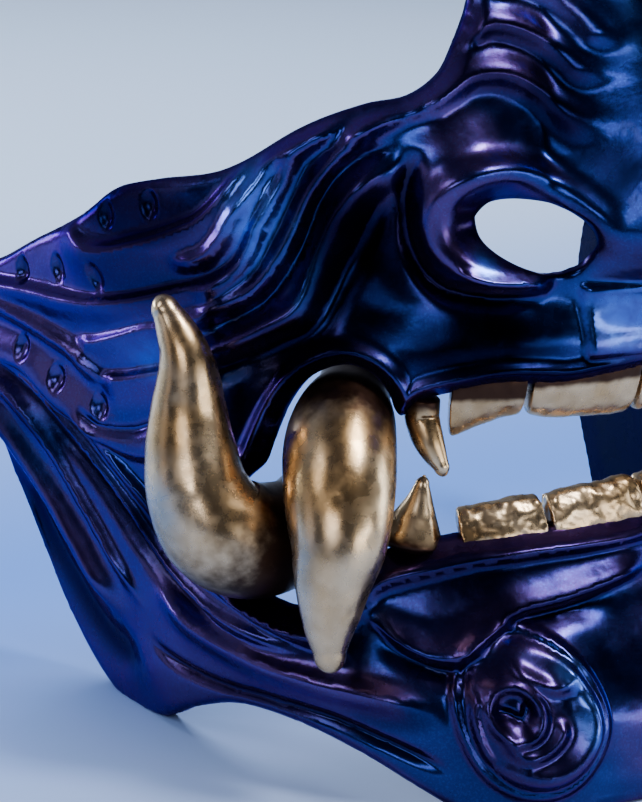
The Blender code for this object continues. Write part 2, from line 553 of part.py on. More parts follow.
def lip_height(u, upper):
    """Height of the mouth's edge where the flat teeth sit."""
    near_front = MOUTH_LINE[:, 0] < FANG_GIRTH
    line = MOUTH_LINE[near_front & ((MOUTH_LINE[:, 1] > MOUTH_MIDDLE) == upper)]
    order = np.argsort(line[:, 0])
    return np.interp(u, line[order, 0], line[order, 1])


def tooth_mesh(row, mirror, upper):
    """A flat tooth that hangs from the lip or stands on it, with softened corners."""
    _, start, end, start_length, end_length, front, back = row
    sign = -1 if upper else 1
    points, faces = [], []
    for share in np.linspace(0, 1, TOOTH_COLUMNS):
        u = start + (end - start) * share
        length = start_length + (end_length - start_length) * share
        if share in (0, 1):
            length *= TOOTH_END_SHARE
        for reach, depth in TOOTH_PROFILE:
            z = lip_height(u, upper) + sign * (GAP + length * reach)
            stand = broad_out(np.array(u), np.array(z)) + front + (back - front) * depth
            points.append(place(mirror * u, z, stand))
    ring = len(TOOTH_PROFILE)
    for column in range(TOOTH_COLUMNS - 1):
        for k in range(ring):
            a, b = column * ring + k, column * ring + (k + 1) % ring
            faces += [(a, b, b + ring), (a, b + ring, a + ring)]
    last = (TOOTH_COLUMNS - 1) * ring
    for k in range(1, ring - 1):
        faces += [(0, k + 1, k), (last, last + k, last + k + 1)]
    return to_world(points), faces


# Objects
def material(name):
    colour, roughness, metallic = COLOURS[name]
    made = bpy.data.materials.new(name)
    made.use_nodes = True
    shader = made.node_tree.nodes["Principled BSDF"]
    shader.inputs["Base Color"].default_value = colour
    shader.inputs["Roughness"].default_value = roughness
    shader.inputs["Metallic"].default_value = metallic
    made.diffuse_color = colour
    return made


def add_object(name, points, faces, surface, smooth_angle):
    mesh = bpy.data.meshes.new(name)
    mesh.from_pydata([tuple(point) for point in points], [], [tuple(face) for face in faces])
    solid = bmesh.new()
    solid.from_mesh(mesh)
    bmesh.ops.recalc_face_normals(solid, faces=solid.faces)
    if solid.calc_volume(signed=True) < 0:
        bmesh.ops.reverse_faces(solid, faces=solid.faces)
    solid.to_mesh(mesh)
    solid.free()
    mesh.shade_smooth()
    mesh.set_sharp_from_angle(angle=math.radians(smooth_angle))
    mesh.materials.append(surface)
    made = bpy.data.objects.new(name, mesh)
    bpy.context.scene.collection.objects.link(made)
    return made


def clear_scene():
    for old in list(bpy.data.objects):
        bpy.data.objects.remove(old, do_unlink=True)


def build():
    clear_scene()
    blue, gold = material("blue"), material("gold")
    add_object("mask_shell", *shell_mesh(), blue, ROUND_ANGLE)
    for side, mirror in (("right", -1), ("left", 1)):
        for name, rows in (("upper_tusk", UPPER_TUSK), ("lower_tusk", LOWER_TUSK)):
            add_object(f"{name}_{side}", *tusk_mesh(rows, mirror, TUSK_STEP, TUSK_SIDES), gold, ROUND_ANGLE)
        for name, rows in (("upper_fang", UPPER_FANG), ("lower_fang", LOWER_FANG)):
            add_object(f"{name}_{side}", *tusk_mesh(rows, mirror, FANG_STEP, FANG_SIDES), gold, ROUND_ANGLE)
        for teeth, upper in ((UPPER_TEETH, True), (LOWER_TEETH, False)):
            for row in teeth:
                add_object(f"{row[0]}_{side}", *tooth_mesh(row, mirror, upper), gold, TOOTH_ANGLE)


build()
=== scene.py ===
"""Looks of the oni half mask: its fine cast skin, worn gold teeth, paint, light and camera.

The skin is drawn on the same curved base as the solid shell. Its points have two coordinates, in
millimetres: the girth u, measured from the middle of the face round to the side, and the height z.
A third number, out, is how far a point stands off the base. Both halves are mirror images.
"""

import math

import bmesh
import bpy
import numpy as np
from mathutils import Matrix, Vector, noise
from mathutils.geometry import delaunay_2d_cdt
from numpy.linalg import norm


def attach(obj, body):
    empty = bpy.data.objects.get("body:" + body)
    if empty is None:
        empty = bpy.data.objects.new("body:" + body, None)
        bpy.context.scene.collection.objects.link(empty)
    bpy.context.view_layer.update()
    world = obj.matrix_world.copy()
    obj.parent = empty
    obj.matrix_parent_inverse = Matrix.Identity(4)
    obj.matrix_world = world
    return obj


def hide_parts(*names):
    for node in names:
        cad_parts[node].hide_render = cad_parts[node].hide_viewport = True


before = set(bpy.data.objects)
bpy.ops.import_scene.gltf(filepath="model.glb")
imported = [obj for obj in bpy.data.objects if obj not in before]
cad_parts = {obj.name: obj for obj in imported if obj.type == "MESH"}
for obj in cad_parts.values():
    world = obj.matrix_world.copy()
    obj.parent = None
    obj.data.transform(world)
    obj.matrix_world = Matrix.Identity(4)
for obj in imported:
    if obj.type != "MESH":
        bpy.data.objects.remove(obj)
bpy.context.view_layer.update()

MM = 0.001

# The shell's own sizes, as the solid has them, in millimetres
HALF_GIRTH = 160.0  # middle of the face to where the side runs straight back
SIDE_HALF_WIDTH = 75.0  # of the plan curve whose girth is measured
FRONT_DEPTH = 112.0  # of the same curve
FACE_ROUNDNESS = 2.3  # superellipse exponent of the plan at mouth and nose
CHIN_ROUNDNESS = 3.2  # the jutting chin is squarer in plan
CHIN_BLEND = (12.0, 55.0)  # heights between which the plan changes from one to the other
LEAN_BACK = 3.0  # degrees that the face leans back as it rests on jaw corners and chin
REST_HEIGHT = 4.53  # of the surface it rests on, once it leans back
DEPTH_CENTRE = 69.5  # brings the middle of the part's depth to the origin
WALL = 4.2
PLAN_POINTS = 3000  # along a quarter of the plan, where its girth is measured
EDGE_ROUND = 2.2  # radius of the shell's outer edges
EDGE_SHARE = 0.8  # how much of that round is taken
FOLD_FADE = 0.18  # share of a fold's length over which each end dies away
CURL_SLOPE = 2.0  # width of the slope round the curl's boss

# How fine the modelled skin is, in millimetres
SKIN_STEP = 0.66
INSIDE_STEP = 2.2
LINE_STEP = 1.6  # of the lines that distances are measured to
POINT_CLEAR = 0.62  # how near two points of a sheet may come, as a share of its step
MIDDLE_CLEAR = 0.4  # how near it may come to the middle of the face
SAME_POINT = 1e-4  # distance within which two points are one
CURL_POINTS = 24
FOLD_STEP = 1.2  # of the points that a fold's crest is drawn through
RIM_ROWS = (0.5, 1.1, 1.8)  # distances from an edge of the rows of points that follow it
FOLD_ROWS = (0.65, 1.3, 2.0)  # the same beside a fold's crest, as shares of its width
SMOOTH_ROUNDS = 2
NORMAL_REACH = 0.5  # how far to either side the sheet's slope is measured
NORMAL_CLEAR = (0.5, 1.2)  # distances from an edge between which those slopes come to count
INSIDE_ROUND = 1.2  # radius of the shell's inner edges
TUSK_RINGS = 0.5  # between the rings of points on a tusk
TUSK_POINTS = 112  # round a tusk
FANG_POINTS = 56
TIP_RINGS = 10
SHARP_ANGLE = 70.0  # degrees from which an edge is drawn sharp

# Half width and front depth of the base at each height
WIDTH_ROWS = [(0, 65), (15, 67.5), (36, 71), (60, 75), (90, 77), (148, 77)]
DEPTH_ROWS = [(0, 126), (10, 127), (20, 124), (30, 118), (40, 114), (60, 111), (72, 113.5),
              (80, 111), (95, 108), (110, 105), (125, 102), (148, 98)]

# The nose: how far its ridge stands out, and how far round its side reaches
NOSE_OUT_ROWS = [(74, 0), (80, 4), (86, 13), (92, 19), (98, 19), (106, 17), (116, 14), (128, 11),
                 (148, 8)]
NOSE_REACH_ROWS = [(74, 20), (92, 22), (104, 19), (118, 17), (148, 16)]
NOSE_RIDGE_SHARE = 0.08  # how much of that reach is the blunt ridge
NOSE_FOOT = (73, 78)  # heights where its underside starts and is full

# Half outlines as (u, z), the outer one from the top of the nose round to the middle of the chin.
# Where it dips below the surface that the mask rests on, it is ground flat into a foot.
OUTLINE = [(0, 148), (8, 147.4), (15.5, 144.5), (21.5, 139), (26, 133), (29, 126), (31.5, 121.5),
           (35, 116.5), (41, 113), (49, 111.5), (60, 108), (72, 102), (80, 99.5), (91, 98), (100, 96),
           (109, 91), (116, 88), (124, 85), (134, 81), (140.5, 79), (145, 75.5), (146.6, 70), (146.6, 61),
           (145.4, 50), (142.5, 38), (138.3, 26), (134, 15), (127.5, 5.6), (120, 0.4), (112, 0),
           (106, 2.5), (99, 6.5), (89, 9.7), (77, 9.2), (66, 6), (57.5, 2), (50, -1.5), (42, -3), (20, -3),
           (0, -3)]
MOUTH = [(0, 42), (11, 42), (23, 42), (32, 41.6), (39, 41.2), (46, 40), (53, 38.4), (57, 36.2), (61.5, 32),
         (67.5, 28.8), (75.5, 28.4), (82.3, 31.5), (84.4, 38.2), (82, 44.4), (77.4, 48.2), (73.6, 51),
         (71.3, 54.6), (69, 58.6), (67, 62.2), (64.2, 66.2), (60.5, 68.7), (56.2, 69.5), (52, 67.9),
         (48.9, 64.8), (47.6, 62.1), (46.4, 60.9), (45, 61.7), (43, 63.5), (40.5, 64.4), (37, 65.2),
         (30, 66.3), (24, 66), (18, 65.5), (11, 66), (0, 66.8)]
NOSTRIL = [(31, 93.4), (28.6, 95.6), (24.2, 96.2), (18.6, 95.6), (15, 93), (13.3, 89), (14.6, 85),
           (19, 83.9), (24.4, 85.4), (28.4, 87.7), (30.5, 90.2)]

# Folds cast on the face: height, how wide they run out above and below their crest, and the crest
FOLDS = [
    ("wing lobe 1", 2.8, 1.0, 6.5, [(69.5, 104), (73.3, 98.5), (79.5, 92.8), (84.6, 90.5), (89.9, 88.7),
     (95.4, 87.2), (101, 85.9), (106.6, 85.9), (111, 88), (114.5, 91)]),
    ("wing lobe 2", 2.5, 1.0, 3.4, [(72, 86), (78, 82.5), (83.8, 80.7), (91.3, 78.8), (97.6, 77.4),
     (104, 76.4), (111, 76), (125, 76.3), (136, 76.1), (149, 77)]),
    ("wing lobe 3", 1.5, 0.9, 3.0, [(84, 74), (92.6, 73.2), (96.6, 72.3), (103.4, 70.2), (108.5, 68.9),
     (114, 69)]),
    ("wing lobe 4", 2.0, 1.0, 4.5, [(80, 67), (88, 66.3), (95, 64.6), (101, 63.2), (107.3, 62.7)]),
    ("wing cord", 2.4, 1.5, 1.7, [(103, 62.2), (107.3, 63), (110.6, 65), (114.2, 67.1), (118.9, 68.6),
     (124.1, 70.1), (129.2, 71.2), (135, 72.2), (149, 74)]),
    ("wing hem", 2.6, 5.5, 1.1, [(80, 57), (88, 52.4), (95.8, 50.4), (99, 50), (103.3, 50.4),
     (107.4, 51.7), (111.5, 53.3), (115.3, 55), (119.3, 56.6), (122.9, 58.8), (127.8, 61.4), (136.4, 63),
     (149, 65)]),
    ("hem crease", -1.1, 0.8, 0.8, [(84, 59.5), (94.6, 55.9), (100.2, 54.2), (108.1, 54), (113, 57)]),
    ("cheek strand 1", 2.2, 1.6, 1.6, [(59, 107), (65, 103), (69, 98), (73, 93), (76, 89), (80, 86),
     (88, 84)]),
    ("cheek strand 2", 2.5, 1.7, 1.4, [(50, 110.5), (56, 107), (61, 104), (64, 99), (68, 93), (72, 86),
     (77, 82), (84, 79)]),
    ("cheek strand 3", 3.0, 2.0, 1.5, [(39, 110), (48, 108), (56, 101), (60, 96), (64, 89), (70, 82),
     (78, 78), (83, 75.5), (94, 73.5)]),
    ("cheek strand 4", 3.8, 1.9, 2.4, [(42, 102.5), (49, 100), (55, 94), (59, 87), (63, 79.5), (70, 75.5),
     (80, 71), (90, 69)]),
    ("cheek groove", -1.6, 1.0, 1.0, [(42, 106), (52, 102.5), (58, 96.5), (63, 87.5), (70, 79.5), (77, 76),
     (86, 73.5)]),
    ("cheek crease", -2.0, 1.4, 3.0, [(41, 99), (47, 96), (52, 89), (57, 82), (62, 75.5), (70, 72),
     (78, 68.5), (86, 64)]),
    ("brow line", 1.2, 1.2, 1.2, [(38, 111.5), (45, 109.5), (53, 106.5)]),
    ("snarl fold 1", 3.0, 3.4, 2.3, [(12, 104), (14, 108.5), (17, 112.5), (21, 115.4), (25, 116.8),
     (30, 116.6), (34, 114.5), (38, 112.4), (43, 111)]),
    ("snarl fold 2", 2.8, 3.2, 2.2, [(11, 113), (13, 117.5), (16.5, 121.5), (22, 124), (27, 124.4),
     (32, 121)]),
    ("snarl fold 3", 2.2, 3.0, 2.4, [(8.5, 119), (11, 125), (15, 129.5), (20, 131.4), (27, 131)]),
    ("nose keel", 1.2, 1.6, 1.6, [(0, 112), (0, 122), (0, 134), (0, 148)]),
    ("nostril crease", -2.4, 1.3, 1.7, [(21, 80), (27, 80.5), (34, 81), (39.4, 82.8), (42.5, 88),
     (43.2, 94), (42.3, 100), (39.6, 105.5)]),
    ("nostril sill", 1.4, 1.0, 1.4, [(19, 82.5), (25, 83), (31, 83.5), (37, 85.5)]),
    ("jaw rear bevel", -2.0, 4.5, 4.5, [(110, 14), (116, 12), (122, 14), (128, 20), (134, 29), (140, 41)]),
    ("jaw ridge 1", 2.8, 3.1, 3.1, [(114.5, 17.5), (116.9, 21.4), (119.4, 25.7), (122.5, 30.6),
     (127, 36.7), (132.3, 42), (139, 48), (148, 54)]),
    ("jaw ridge 2", 1.9, 1.3, 1.5, [(107.5, 21), (109.3, 24.4), (111.5, 28.5), (114.7, 33.7), (119, 39.8),
     (124, 46.2), (130, 51.5), (138, 56), (149, 59.5)]),
    ("jaw valley", -1.8, 2.0, 2.0, [(84, 21.6), (91, 23.4), (97.5, 27), (103, 32), (108.5, 38.6),
     (114, 44.6), (120, 49.5), (127.5, 55), (137, 58.8), (149, 62)]),
    ("jaw strand 1", 1.8, 1.2, 1.2, [(70, 22.3), (80, 22.9), (89, 25), (95.5, 28.6), (101, 33.3),
     (106.5, 40.4), (112, 46.6), (118.5, 52.6), (126, 57.6), (135, 61), (149, 64.5)]),
    ("jaw strand 2", 2.1, 1.2, 1.3, [(62, 23.5), (71.9, 25), (76.7, 26.6), (82.7, 28.6), (88.3, 31),
     (93.6, 34.6), (98.4, 39), (104.5, 45.2), (109.5, 51), (116, 55.5)]),
    ("jaw ridge 3", 2.6, 1.6, 3.0, [(50, 15.6), (60, 17.4), (71.5, 18.2), (80, 18.9), (87, 20.2),
     (94, 22.2), (99, 24.4), (104, 27.4)]),
    ("jaw groove", -1.8, 0.9, 1.1, [(50, 4.6), (56, 7.2), (63, 9.6), (71.5, 11.8), (82, 12.5),
     (91.5, 12.4), (99, 13.3), (105, 15.2), (109, 18)]),
    ("lip ledge", 0.9, 0.9, 1.6, [(0, 39), (22, 39), (32, 38.6), (43, 37), (54, 34.5), (61, 31)]),
    ("lip fold", 2.3, 2.6, 1.2, [(0, 34.5), (8, 34), (16, 32.7), (25, 31.4), (32.5, 30.4), (37.5, 28.4),
     (43.5, 25.2), (49, 24), (54, 25.8), (57.5, 28.6), (61, 31.4)]),
    ("lip crease", -1.8, 1.2, 1.9, [(12, 30.2), (24, 28.7), (32, 27.8), (37, 25.8), (42.5, 22.6), (49, 21),
     (55, 22.8), (60, 26)]),
]

# The curl on the side of the chin: a round boss that carries a coiled arm, a ring and a bead
CURL_CENTRE = (35.8, 14.4)
BOSS = (12.8, 1.7)  # radius and height
BOSS_GROOVE = (12.1, 0.9, -1.1)  # radius, width and height
ARM_TURN = (143.0, 322.0)  # degrees where it starts and ends
ARM_RADII = (10.2, 8.8)  # at the same ends
ARM = (2.5, 2.3)  # width and height
RING = (39.3, 15.8, 4.3, 1.2, 1.8)  # u, z, radius, width and height
BEAD = (27.6, 20.8, 2.3, 2.2)  # u, z, radius and height

# Broad hollows and swellings: u, z, reach in u, reach in z, height
SWELLINGS = [
    ("cheek hollow", 51, 84, 10, 12, -3.4),
    ("nose wing", 34, 103, 10, 8, 3.4),
    ("lower lip", 28, 35, 30, 5, 1.4),
    ("jaw corner", 106, 8, 9, 8, 1.5),
    ("jaw side hollow", 96, 40, 12, 9, -1.5),
    ("chin ball", 0, 12, 16, 12, 3.0),
    ("chin foot", 0, -3, 60, 9, 3.5),
]

# The flared ring round the nostril, and the lip band below the nose
FUNNEL_CENTRE = (27.3, 92.7)
FUNNEL_REACH = (12.2, 9.0)
FUNNEL_RISE = 3.8
FUNNEL_DROP = 3.0
FUNNEL_RIM = (0.26, 0.6)  # widths of its rim outwards and inwards, as shares of its reach
FUNNEL_WALL = (0.35, 0.9)  # shares of its reach between which its wall falls
PHILTRUM_HALF_WIDTH = 15.5
PHILTRUM_HEIGHTS = (71.0, 83.0)
PHILTRUM_OUT = 2.0
PHILTRUM_EDGE = 1.6  # width of the slope round it
LIP_ROLL = (2.5, 1.4, 1.8)  # distance of the roll's crest from the mouth, its width and height

# Tusks: a row for each section, as u, z, out and radius of its centre
UPPER_TUSK = [(56.4, 64.6, -10.4, 4.2), (56.5, 63.2, -7.4, 6.3), (56.5, 60.4, -2.2, 8.3),
              (56.6, 56.4, 3.2, 9.3), (56.4, 50.5, 8.9, 9.2), (56.9, 43.5, 12.2, 8.0),
              (59.1, 36.5, 12.2, 6.2), (61.5, 30, 10.7, 4.3), (63.2, 25.8, 9.3, 2.7)]
LOWER_TUSK = [(68.6, 41.6, -10, 6.4), (70, 40.4, -6, 8.6), (72, 39.6, -1.2, 9.2), (74.8, 39.9, 5.0, 9.8),
              (77.4, 43, 9.9, 9.6), (79, 48.8, 11.6, 8.6), (79.5, 55.5, 11.2, 7.6),
              (79.8, 62.5, 10.2, 6.3), (80.6, 69.5, 9.5, 4.8), (82.2, 75.6, 9.3, 3.3),
              (83.2, 78.4, 9.4, 2.4)]
UPPER_FANG = [(42.6, 61.6, -2.5, 1.9), (42.6, 60.1, -2.3, 2.9), (41.6, 56.4, -0.9, 2.5),
              (40.2, 52.7, 0, 1.5)]
LOWER_FANG = [(47.0, 42.1, -2.7, 4.6), (46.1, 44, -2.3, 3.7), (44.9, 46.6, -1.6, 2.4),
              (43.8, 49.4, -1.2, 1.3)]

# Flat teeth: girth of both ends, length below or above the lip at both ends, out of front and back
UPPER_TEETH = [("upper_front_tooth", 0.3, 23.4, 8.6, 5.8, -0.8, -5.0),
               ("upper_side_tooth", 24.2, 38.1, 5.9, 8.6, -0.8, -5.0)]
LOWER_TEETH = [("lower_front_tooth", 0.3, 21.2, 6.0, 5.0, -0.4, -5.2),
               ("lower_side_tooth", 22, 38.8, 5.2, 4.0, -0.4, -5.2)]
TOOTH_END_SHARE = 0.86  # length of a tooth's end columns, which softens its corners
# Section of a tooth as shares of its length and of its thickness, from the front of its root
TOOTH_PROFILE = [(0, 0), (0.45, -0.08), (0.8, 0), (1, 0.35), (1, 0.75), (0.7, 1), (0, 1)]
FANG_GIRTH = 42.0  # the flat teeth end before this girth
MOUTH_MIDDLE = 53.0  # height between the upper and the lower teeth

# Dents drilled in the wing, as (u, z), with their half width, half height and depth
DENTS = [(91.5, 94), (102, 91.5), (104.5, 81), (115.8, 81), (127, 79.4), (107, 57.3), (118, 61),
         (127.8, 65.2)]
DENT_SIZE = (1.6, 2.2, 1.1)
DENT_LIP = (0.1, 1.25, 0.25)  # height, place and width of its raised lip, as shares of those

# More of the curl: height, width on either side, and the crest
CURL_FOLDS = [
    ("bead's tail", 1.3, 1.2, [(28, 20.4), (30.5, 19.2), (33, 19.6), (35.5, 21), (38, 22.6)]),
    ("comma", -1.5, 0.8, [(43.6, 16.8), (42, 15.9), (40.2, 15.3), (38.2, 14.3), (37.1, 15.7),
     (37.4, 17.8)]),
    ("crescent", 1.7, 1.2, [(42.2, 12.4), (40.6, 9.8), (38, 8.9), (34.8, 9.8), (32.2, 12.2), (31.4, 15)]),
    ("thin rim", 1.0, 0.6, [(44.4, 19.4), (46, 15.4), (45.9, 11), (44, 7)]),
]

# Where the paint differs: u, z, reach in u, reach in z, share. The shade patches are painted shade, the
# highlight patches are painted highlights, and the violet patches are a painted reflection colour.
PATCHES = {
    # painted shade: these patches darken the paint towards near black
    "shade": [
        ("cheek", 53, 85, 14, 17, 1.0), ("below the nose", 34, 73, 19, 7.5, 1.0),
        ("arch", 63, 71, 13, 8, 1.0), ("upper lip", 20, 68, 24, 3, 0.9),
        ("nose side", 17, 112, 7, 11, 0.9), ("chin side", 17, 24, 9, 10, 0.7),
        ("upper wing", 95, 92, 18, 7, 0.9), ("below the lip fold", 60, 14, 10, 3, 0.5),
        ("snarl", 24, 119, 11, 10, 0.7), ("lower lip", 30, 34, 30, 8, 0.7),
        ("rear edge", 141, 35, 7, 25, 0.6), ("tusk hollow", 62, 26, 16, 5, 0.6),
        ("jaw hollow", 98, 37, 9, 8, 0.7), ("wing", 92, 82, 20, 7, 0.65),
        ("jaw valley", 126, 52, 14, 5, 0.5), ("curl side", 42, 14, 12, 12, 0.5),
    ],
    # painted highlights: brighter blue where light catches strands, ridges, philtrum and bead
    "flake": [
        ("upper strands", 69, 94, 6, 9, 1.0), ("strand 4", 61, 86, 4.5, 9, 1.0),
        ("philtrum", 7, 77, 10, 7, 0.9), ("nose ridge", 2, 128, 4.5, 26, 0.6),
        ("arm", 26.5, 14, 3, 6, 0.9), ("bead", 27.6, 21, 3, 3, 1.0),
        ("nostril edge", 31, 86.5, 2.5, 2.5, 1.0), ("jaw lines", 88, 68, 14, 4, 0.5),
    ],
    # painted reflection colour: violet where this paint shows violet in reflection at a grazing angle
    "violet": [
        ("nostril rim", 37, 91, 9, 13, 1.0), ("nose wing", 33, 107, 8, 6, 1.0), ("chin", 8, 8, 16, 9, 0.9),
        ("curl", 36, 12, 15, 12, 0.25), ("lip", 44, 32, 16, 5, 0.4), ("snarl crests", 30, 119, 12, 9, 0.5),
        ("hem", 120, 66, 30, 16, 0.5), ("jaw", 112, 28, 22, 24, 0.5), ("ridge 3", 80, 19, 30, 4, 0.6),
    ],
}
PATCH_EDGE = (0.1, 0.85)  # values of its bell shape between which a patch comes in

# Unevenness of the cast skin: size of its waves along and up, and height
WAVES = [(11.0, 8.0, 0.16), (4.0, 3.0, 0.05)]

# Ends of a tusk, as shares of the radius there
ROOT_LENGTH = 0.35
TIP_LENGTH = 1.25
# Columns of points across a flat tooth, close together at its ends to keep the corners firm
TOOTH_SHARES = (0, 0.04, 0.16, 0.33, 0.5, 0.67, 0.84, 0.96, 1)
TOOTH_LEVELS = 3
ROOT_SET = 2.4  # how far a flat tooth's root runs on into the lip
ROOT_STRETCH = 1.2  # the same for a tusk, as a share of the run between its first two sections
TUSK_CALM = (2.0, 1.2)  # lengths at its root and tip over which a tusk grows uneven
TUSK_LUMPS = [(9, 0.06), (2.2, 0.02)]  # size and height of its unevenness
TUSK_PITS = 34
TOOTH_LUMPS = [(2.6, 0.16), (0.9, 0.06)]
TOOTH_PITS = 16
UPPER_WEAR = 0.8  # how strongly the flat teeth are worn uneven
LOWER_WEAR = 1.9
PIT_REACH = (0.4, 1.3)
PIT_HEIGHT = (-0.22, 0.10)
# the brown roots of tusks and teeth are dirt with painted shade where they go into the shell
ROOT_DIRT_AND_SHADE = (0.14, 0.44)  # shares of a tusk's length between which the brown of its root ends
TOOTH_DIRT_AND_SHADE = (4.6, 8.6)  # distances from a tooth's free end between which its brown root starts

# Colours
BLUE = (0.009, 0.023, 0.15)
# blue of the painted highlights
PAINTED_HIGHLIGHT_BLUE = (0.065, 0.15, 0.56)
VIOLET = (0.070, 0.034, 0.150)
# near black of the painted shade
NAVY = (0.0004, 0.0008, 0.007)
SPARK = (0.04, 0.14, 0.55)
EDGE_TINT = (0.28, 0.18, 0.60)
SHEEN_TINT = (0.45, 0.25, 1.0)
INSIDE_BLACK = (0.003, 0.005, 0.014)
GOLD_PALE = (0.66, 0.48, 0.29)
GOLD_WARM = (0.44, 0.27, 0.12)
GOLD_BROWN = (0.045, 0.022, 0.014)
FLOOR_FRONT = (0.44, 0.55, 0.80)
# painted shade: the bluer, darker table round and under the mask
FLOOR_NEAR_SHADE = (0.11, 0.27, 0.80)
FLOOR_FAR = (0.52, 0.68, 0.95)
ROOM_BRIGHT = (0.30, 0.36, 0.50)
ROOM_TOP = (0.05, 0.055, 0.09)
ROOM_DARK = (0.008, 0.010, 0.020)

# Paint. A span is two values between which something comes in, and what it is at both where that isn't
# 0 and 1. A cloud is the size in millimetres of a noise, its detail and its roughness.
CLOUD_SIZE = 24
# the shift towards violet by patches and crests of the relief is a painted reflection colour; the clouds
# are the paint's own uneven tone
CLOUD_SHIFT = 0.5  # how far clouds, patches and crests of the relief shift the blue towards violet
PATCH_SHIFT = 0.26
CREST_SHIFT = (0.8, 2.6, 0.0, 0.12)
VIOLET_SPAN = (0.0, 0.42)
# cloud and span of the painted highlights
PAINTED_HIGHLIGHT_CLOUD = ((3.0, 4), (0.3, 0.7, 0.45, 1.0))
FLAKE = ((0.4, 1.0), (0.45, 0.75))
FLAKE_SHARE = 0.14
# painted shade in the sunk parts of the relief, and the share of the shade patches' painted shade
SUNK_SPAN = (-1.8, 0.3, 0.85, 0.0)
SHADE_SHARE = 0.93
PAINT_ROUGHNESS = ((6, 4), (0.3, 0.75, 0.21, 0.31))
SHEEN_WEIGHT = 0.05
SHEEN_ROUGHNESS = 0.35
# the coat thins out where shade is painted
COAT_SPAN = (0.0, 0.7, 0.09, 0.0)
COAT_ROUGHNESS = 0.08
COAT_INDEX = 1.5
PAINT_BUMPS = [(5.0, 2, 0.3, 0.3), (1.4, 2, 0.3, 0.07), (0.4, 1, 0.12, 0.02)]
COAT_BUMPS = [(5.0, 2, 0.3, 0.3), (1.4, 2, 0.3, 0.06)]
# the violet painted where the surface turns from this direction is a painted reflection colour
FRONT_CORNER = (0.55, -0.79, 0.27)  # where the blue of the paint shows squarely, on both cheeks

# Gold, in the same terms
# brown at the roots: dirt with painted shade where the pieces go into the shell
DIRT_AND_SHADE_CLOUD = (3.0, 4)
DIRT_AND_SHADE_SHIFT = 0.45
DIRT_AND_SHADE_SPAN = (0.3, 0.75)
PIT_SPAN = (-0.16, -0.02, 1, 0)
RUBBED = ((7, 5, 0.65), (0.52, 0.85))
RUBBED_SHARE = 0.15
WARM_TONE = ((12, 3), (0.35, 0.7))
ROUGH_CLOUD = (2.5, 4)
BROWN_ROUGHNESS = 0.3
GOLD_ROUGHNESS = (0.35, 1.0, 0.25, 0.44)
GOLD_BUMPS = [(2.4, 4, 0.3, 0.06), (0.7, 3, 0.3, 0.04)]

# Room and view. The view is given about the upright face: its turn, tilt and distance, where its
# centre lies to the right and up, and its focal length in pixels of the photograph
FLOOR_REACH = 3.0
FLOOR_CLEAR = 0.0002
# the near colour is painted shade round the mask
FLOOR_SPANS = ((-0.08, 0.10), (0.08, 0.45))  # where its front colour turns to the near, then the far one
FLOOR_ROUGHNESS = 0.6
ROOM_TOP_SPAN = (0.55, 0.98)  # heights of a direction over which the room's top comes in
ROOM_BRIGHT_SPAN = (0.3, 0.95)  # the same for how near a direction is to the bright side
BRIGHT_SIDE = (-0.1, 0.97, 0.2)
LIGHTS = [
    ("left_window", (-0.76, -0.53, 0.45), (0, 0, 0.08), (0.42, 0.22), 2.0, (0.92, 0.93, 1.0)),
    ("high_left_window", (-0.76, 0.07, 0.72), (0, 0, 0.08), (0.26, 0.34), 1.5, (0.90, 0.92, 1.0)),
    ("front_strip", (0.28, -0.86, 0.15), (0, 0, 0.07), (0.62, 0.18), 2.4, (0.93, 0.96, 1.0)),
    ("right_window", (0.29, -0.41, 0.95), (0, 0, 0.08), (0.20, 0.26), 8.0, (0.96, 0.97, 1.0)),
    ("right_side_window", (0.86, -0.34, 0.20), (0, 0, 0.08), (0.26, 0.40), 2.0, (0.85, 0.92, 1.0)),
    ("left_side_window", (-0.95, 0.28, 0.24), (0, 0, 0.08), (0.30, 0.40), 0.3, (0.88, 0.88, 1.0)),
    ("back_window", (-0.49, 0.85, 0.26), (0, 0, 0.08), (0.52, 0.14), 4.8, (0.80, 0.90, 1.0)),
]
SKY_LIGHT = ("sky_light", (0.1, 0.9, 1.3), (0, 0.2, 0), (1.4, 0.9), 32.0, (0.90, 0.95, 1.0))
VIEW_TURN = 35.0
VIEW_TILT = 13.0
VIEW_DISTANCE = 500.0
VIEW_RIGHT = 9.3625
VIEW_UP = 38.687
VIEW_FOCUS = 2344.75
IMAGE_HEIGHT = 802
SENSOR_HEIGHT = 24.0


# Small tools for tables and curves
def table(rows, at):
    """Smooth values read from a table of (place, value) rows, held past its ends."""
    places, values = np.array(rows, float).T
    spans = np.diff(places)
    slopes = np.diff(values) / spans
    product = slopes[:-1] * slopes[1:]
    total = np.where(product > 0, slopes[:-1] + slopes[1:], 1.0)
    tangents = np.empty(len(places))
    tangents[1:-1] = np.where(product > 0, 2 * product / total, 0.0)
    tangents[0], tangents[-1] = slopes[0], slopes[-1]
    at = np.clip(at, places[0], places[-1])
    row = np.clip(np.searchsorted(places, at, side="right") - 1, 0, len(spans) - 1)
    t = (at - places[row]) / spans[row]
    leaving, arriving = spans[row] * tangents[row], spans[row] * tangents[row + 1]
    return hermite(t, values[row], leaving, values[row + 1], arriving)


def ease(low, high, at):
    """0 below low, 1 above high, smooth between."""
    t = np.clip((at - low) / (high - low), 0, 1)
    return t * t * (3 - 2 * t)


def hermite(t, start, left, end, right):
    """From start to end, leaving and arriving with the given slopes."""
    return ((1 + 2 * t) * (1 - t) ** 2 * start + t * (1 - t) ** 2 * left
            + t * t * (3 - 2 * t) * end + t * t * (t - 1) * right)


def bell(share):
    """1 at 0, and next to nothing from 2 on."""
    return np.exp(-(share**2))


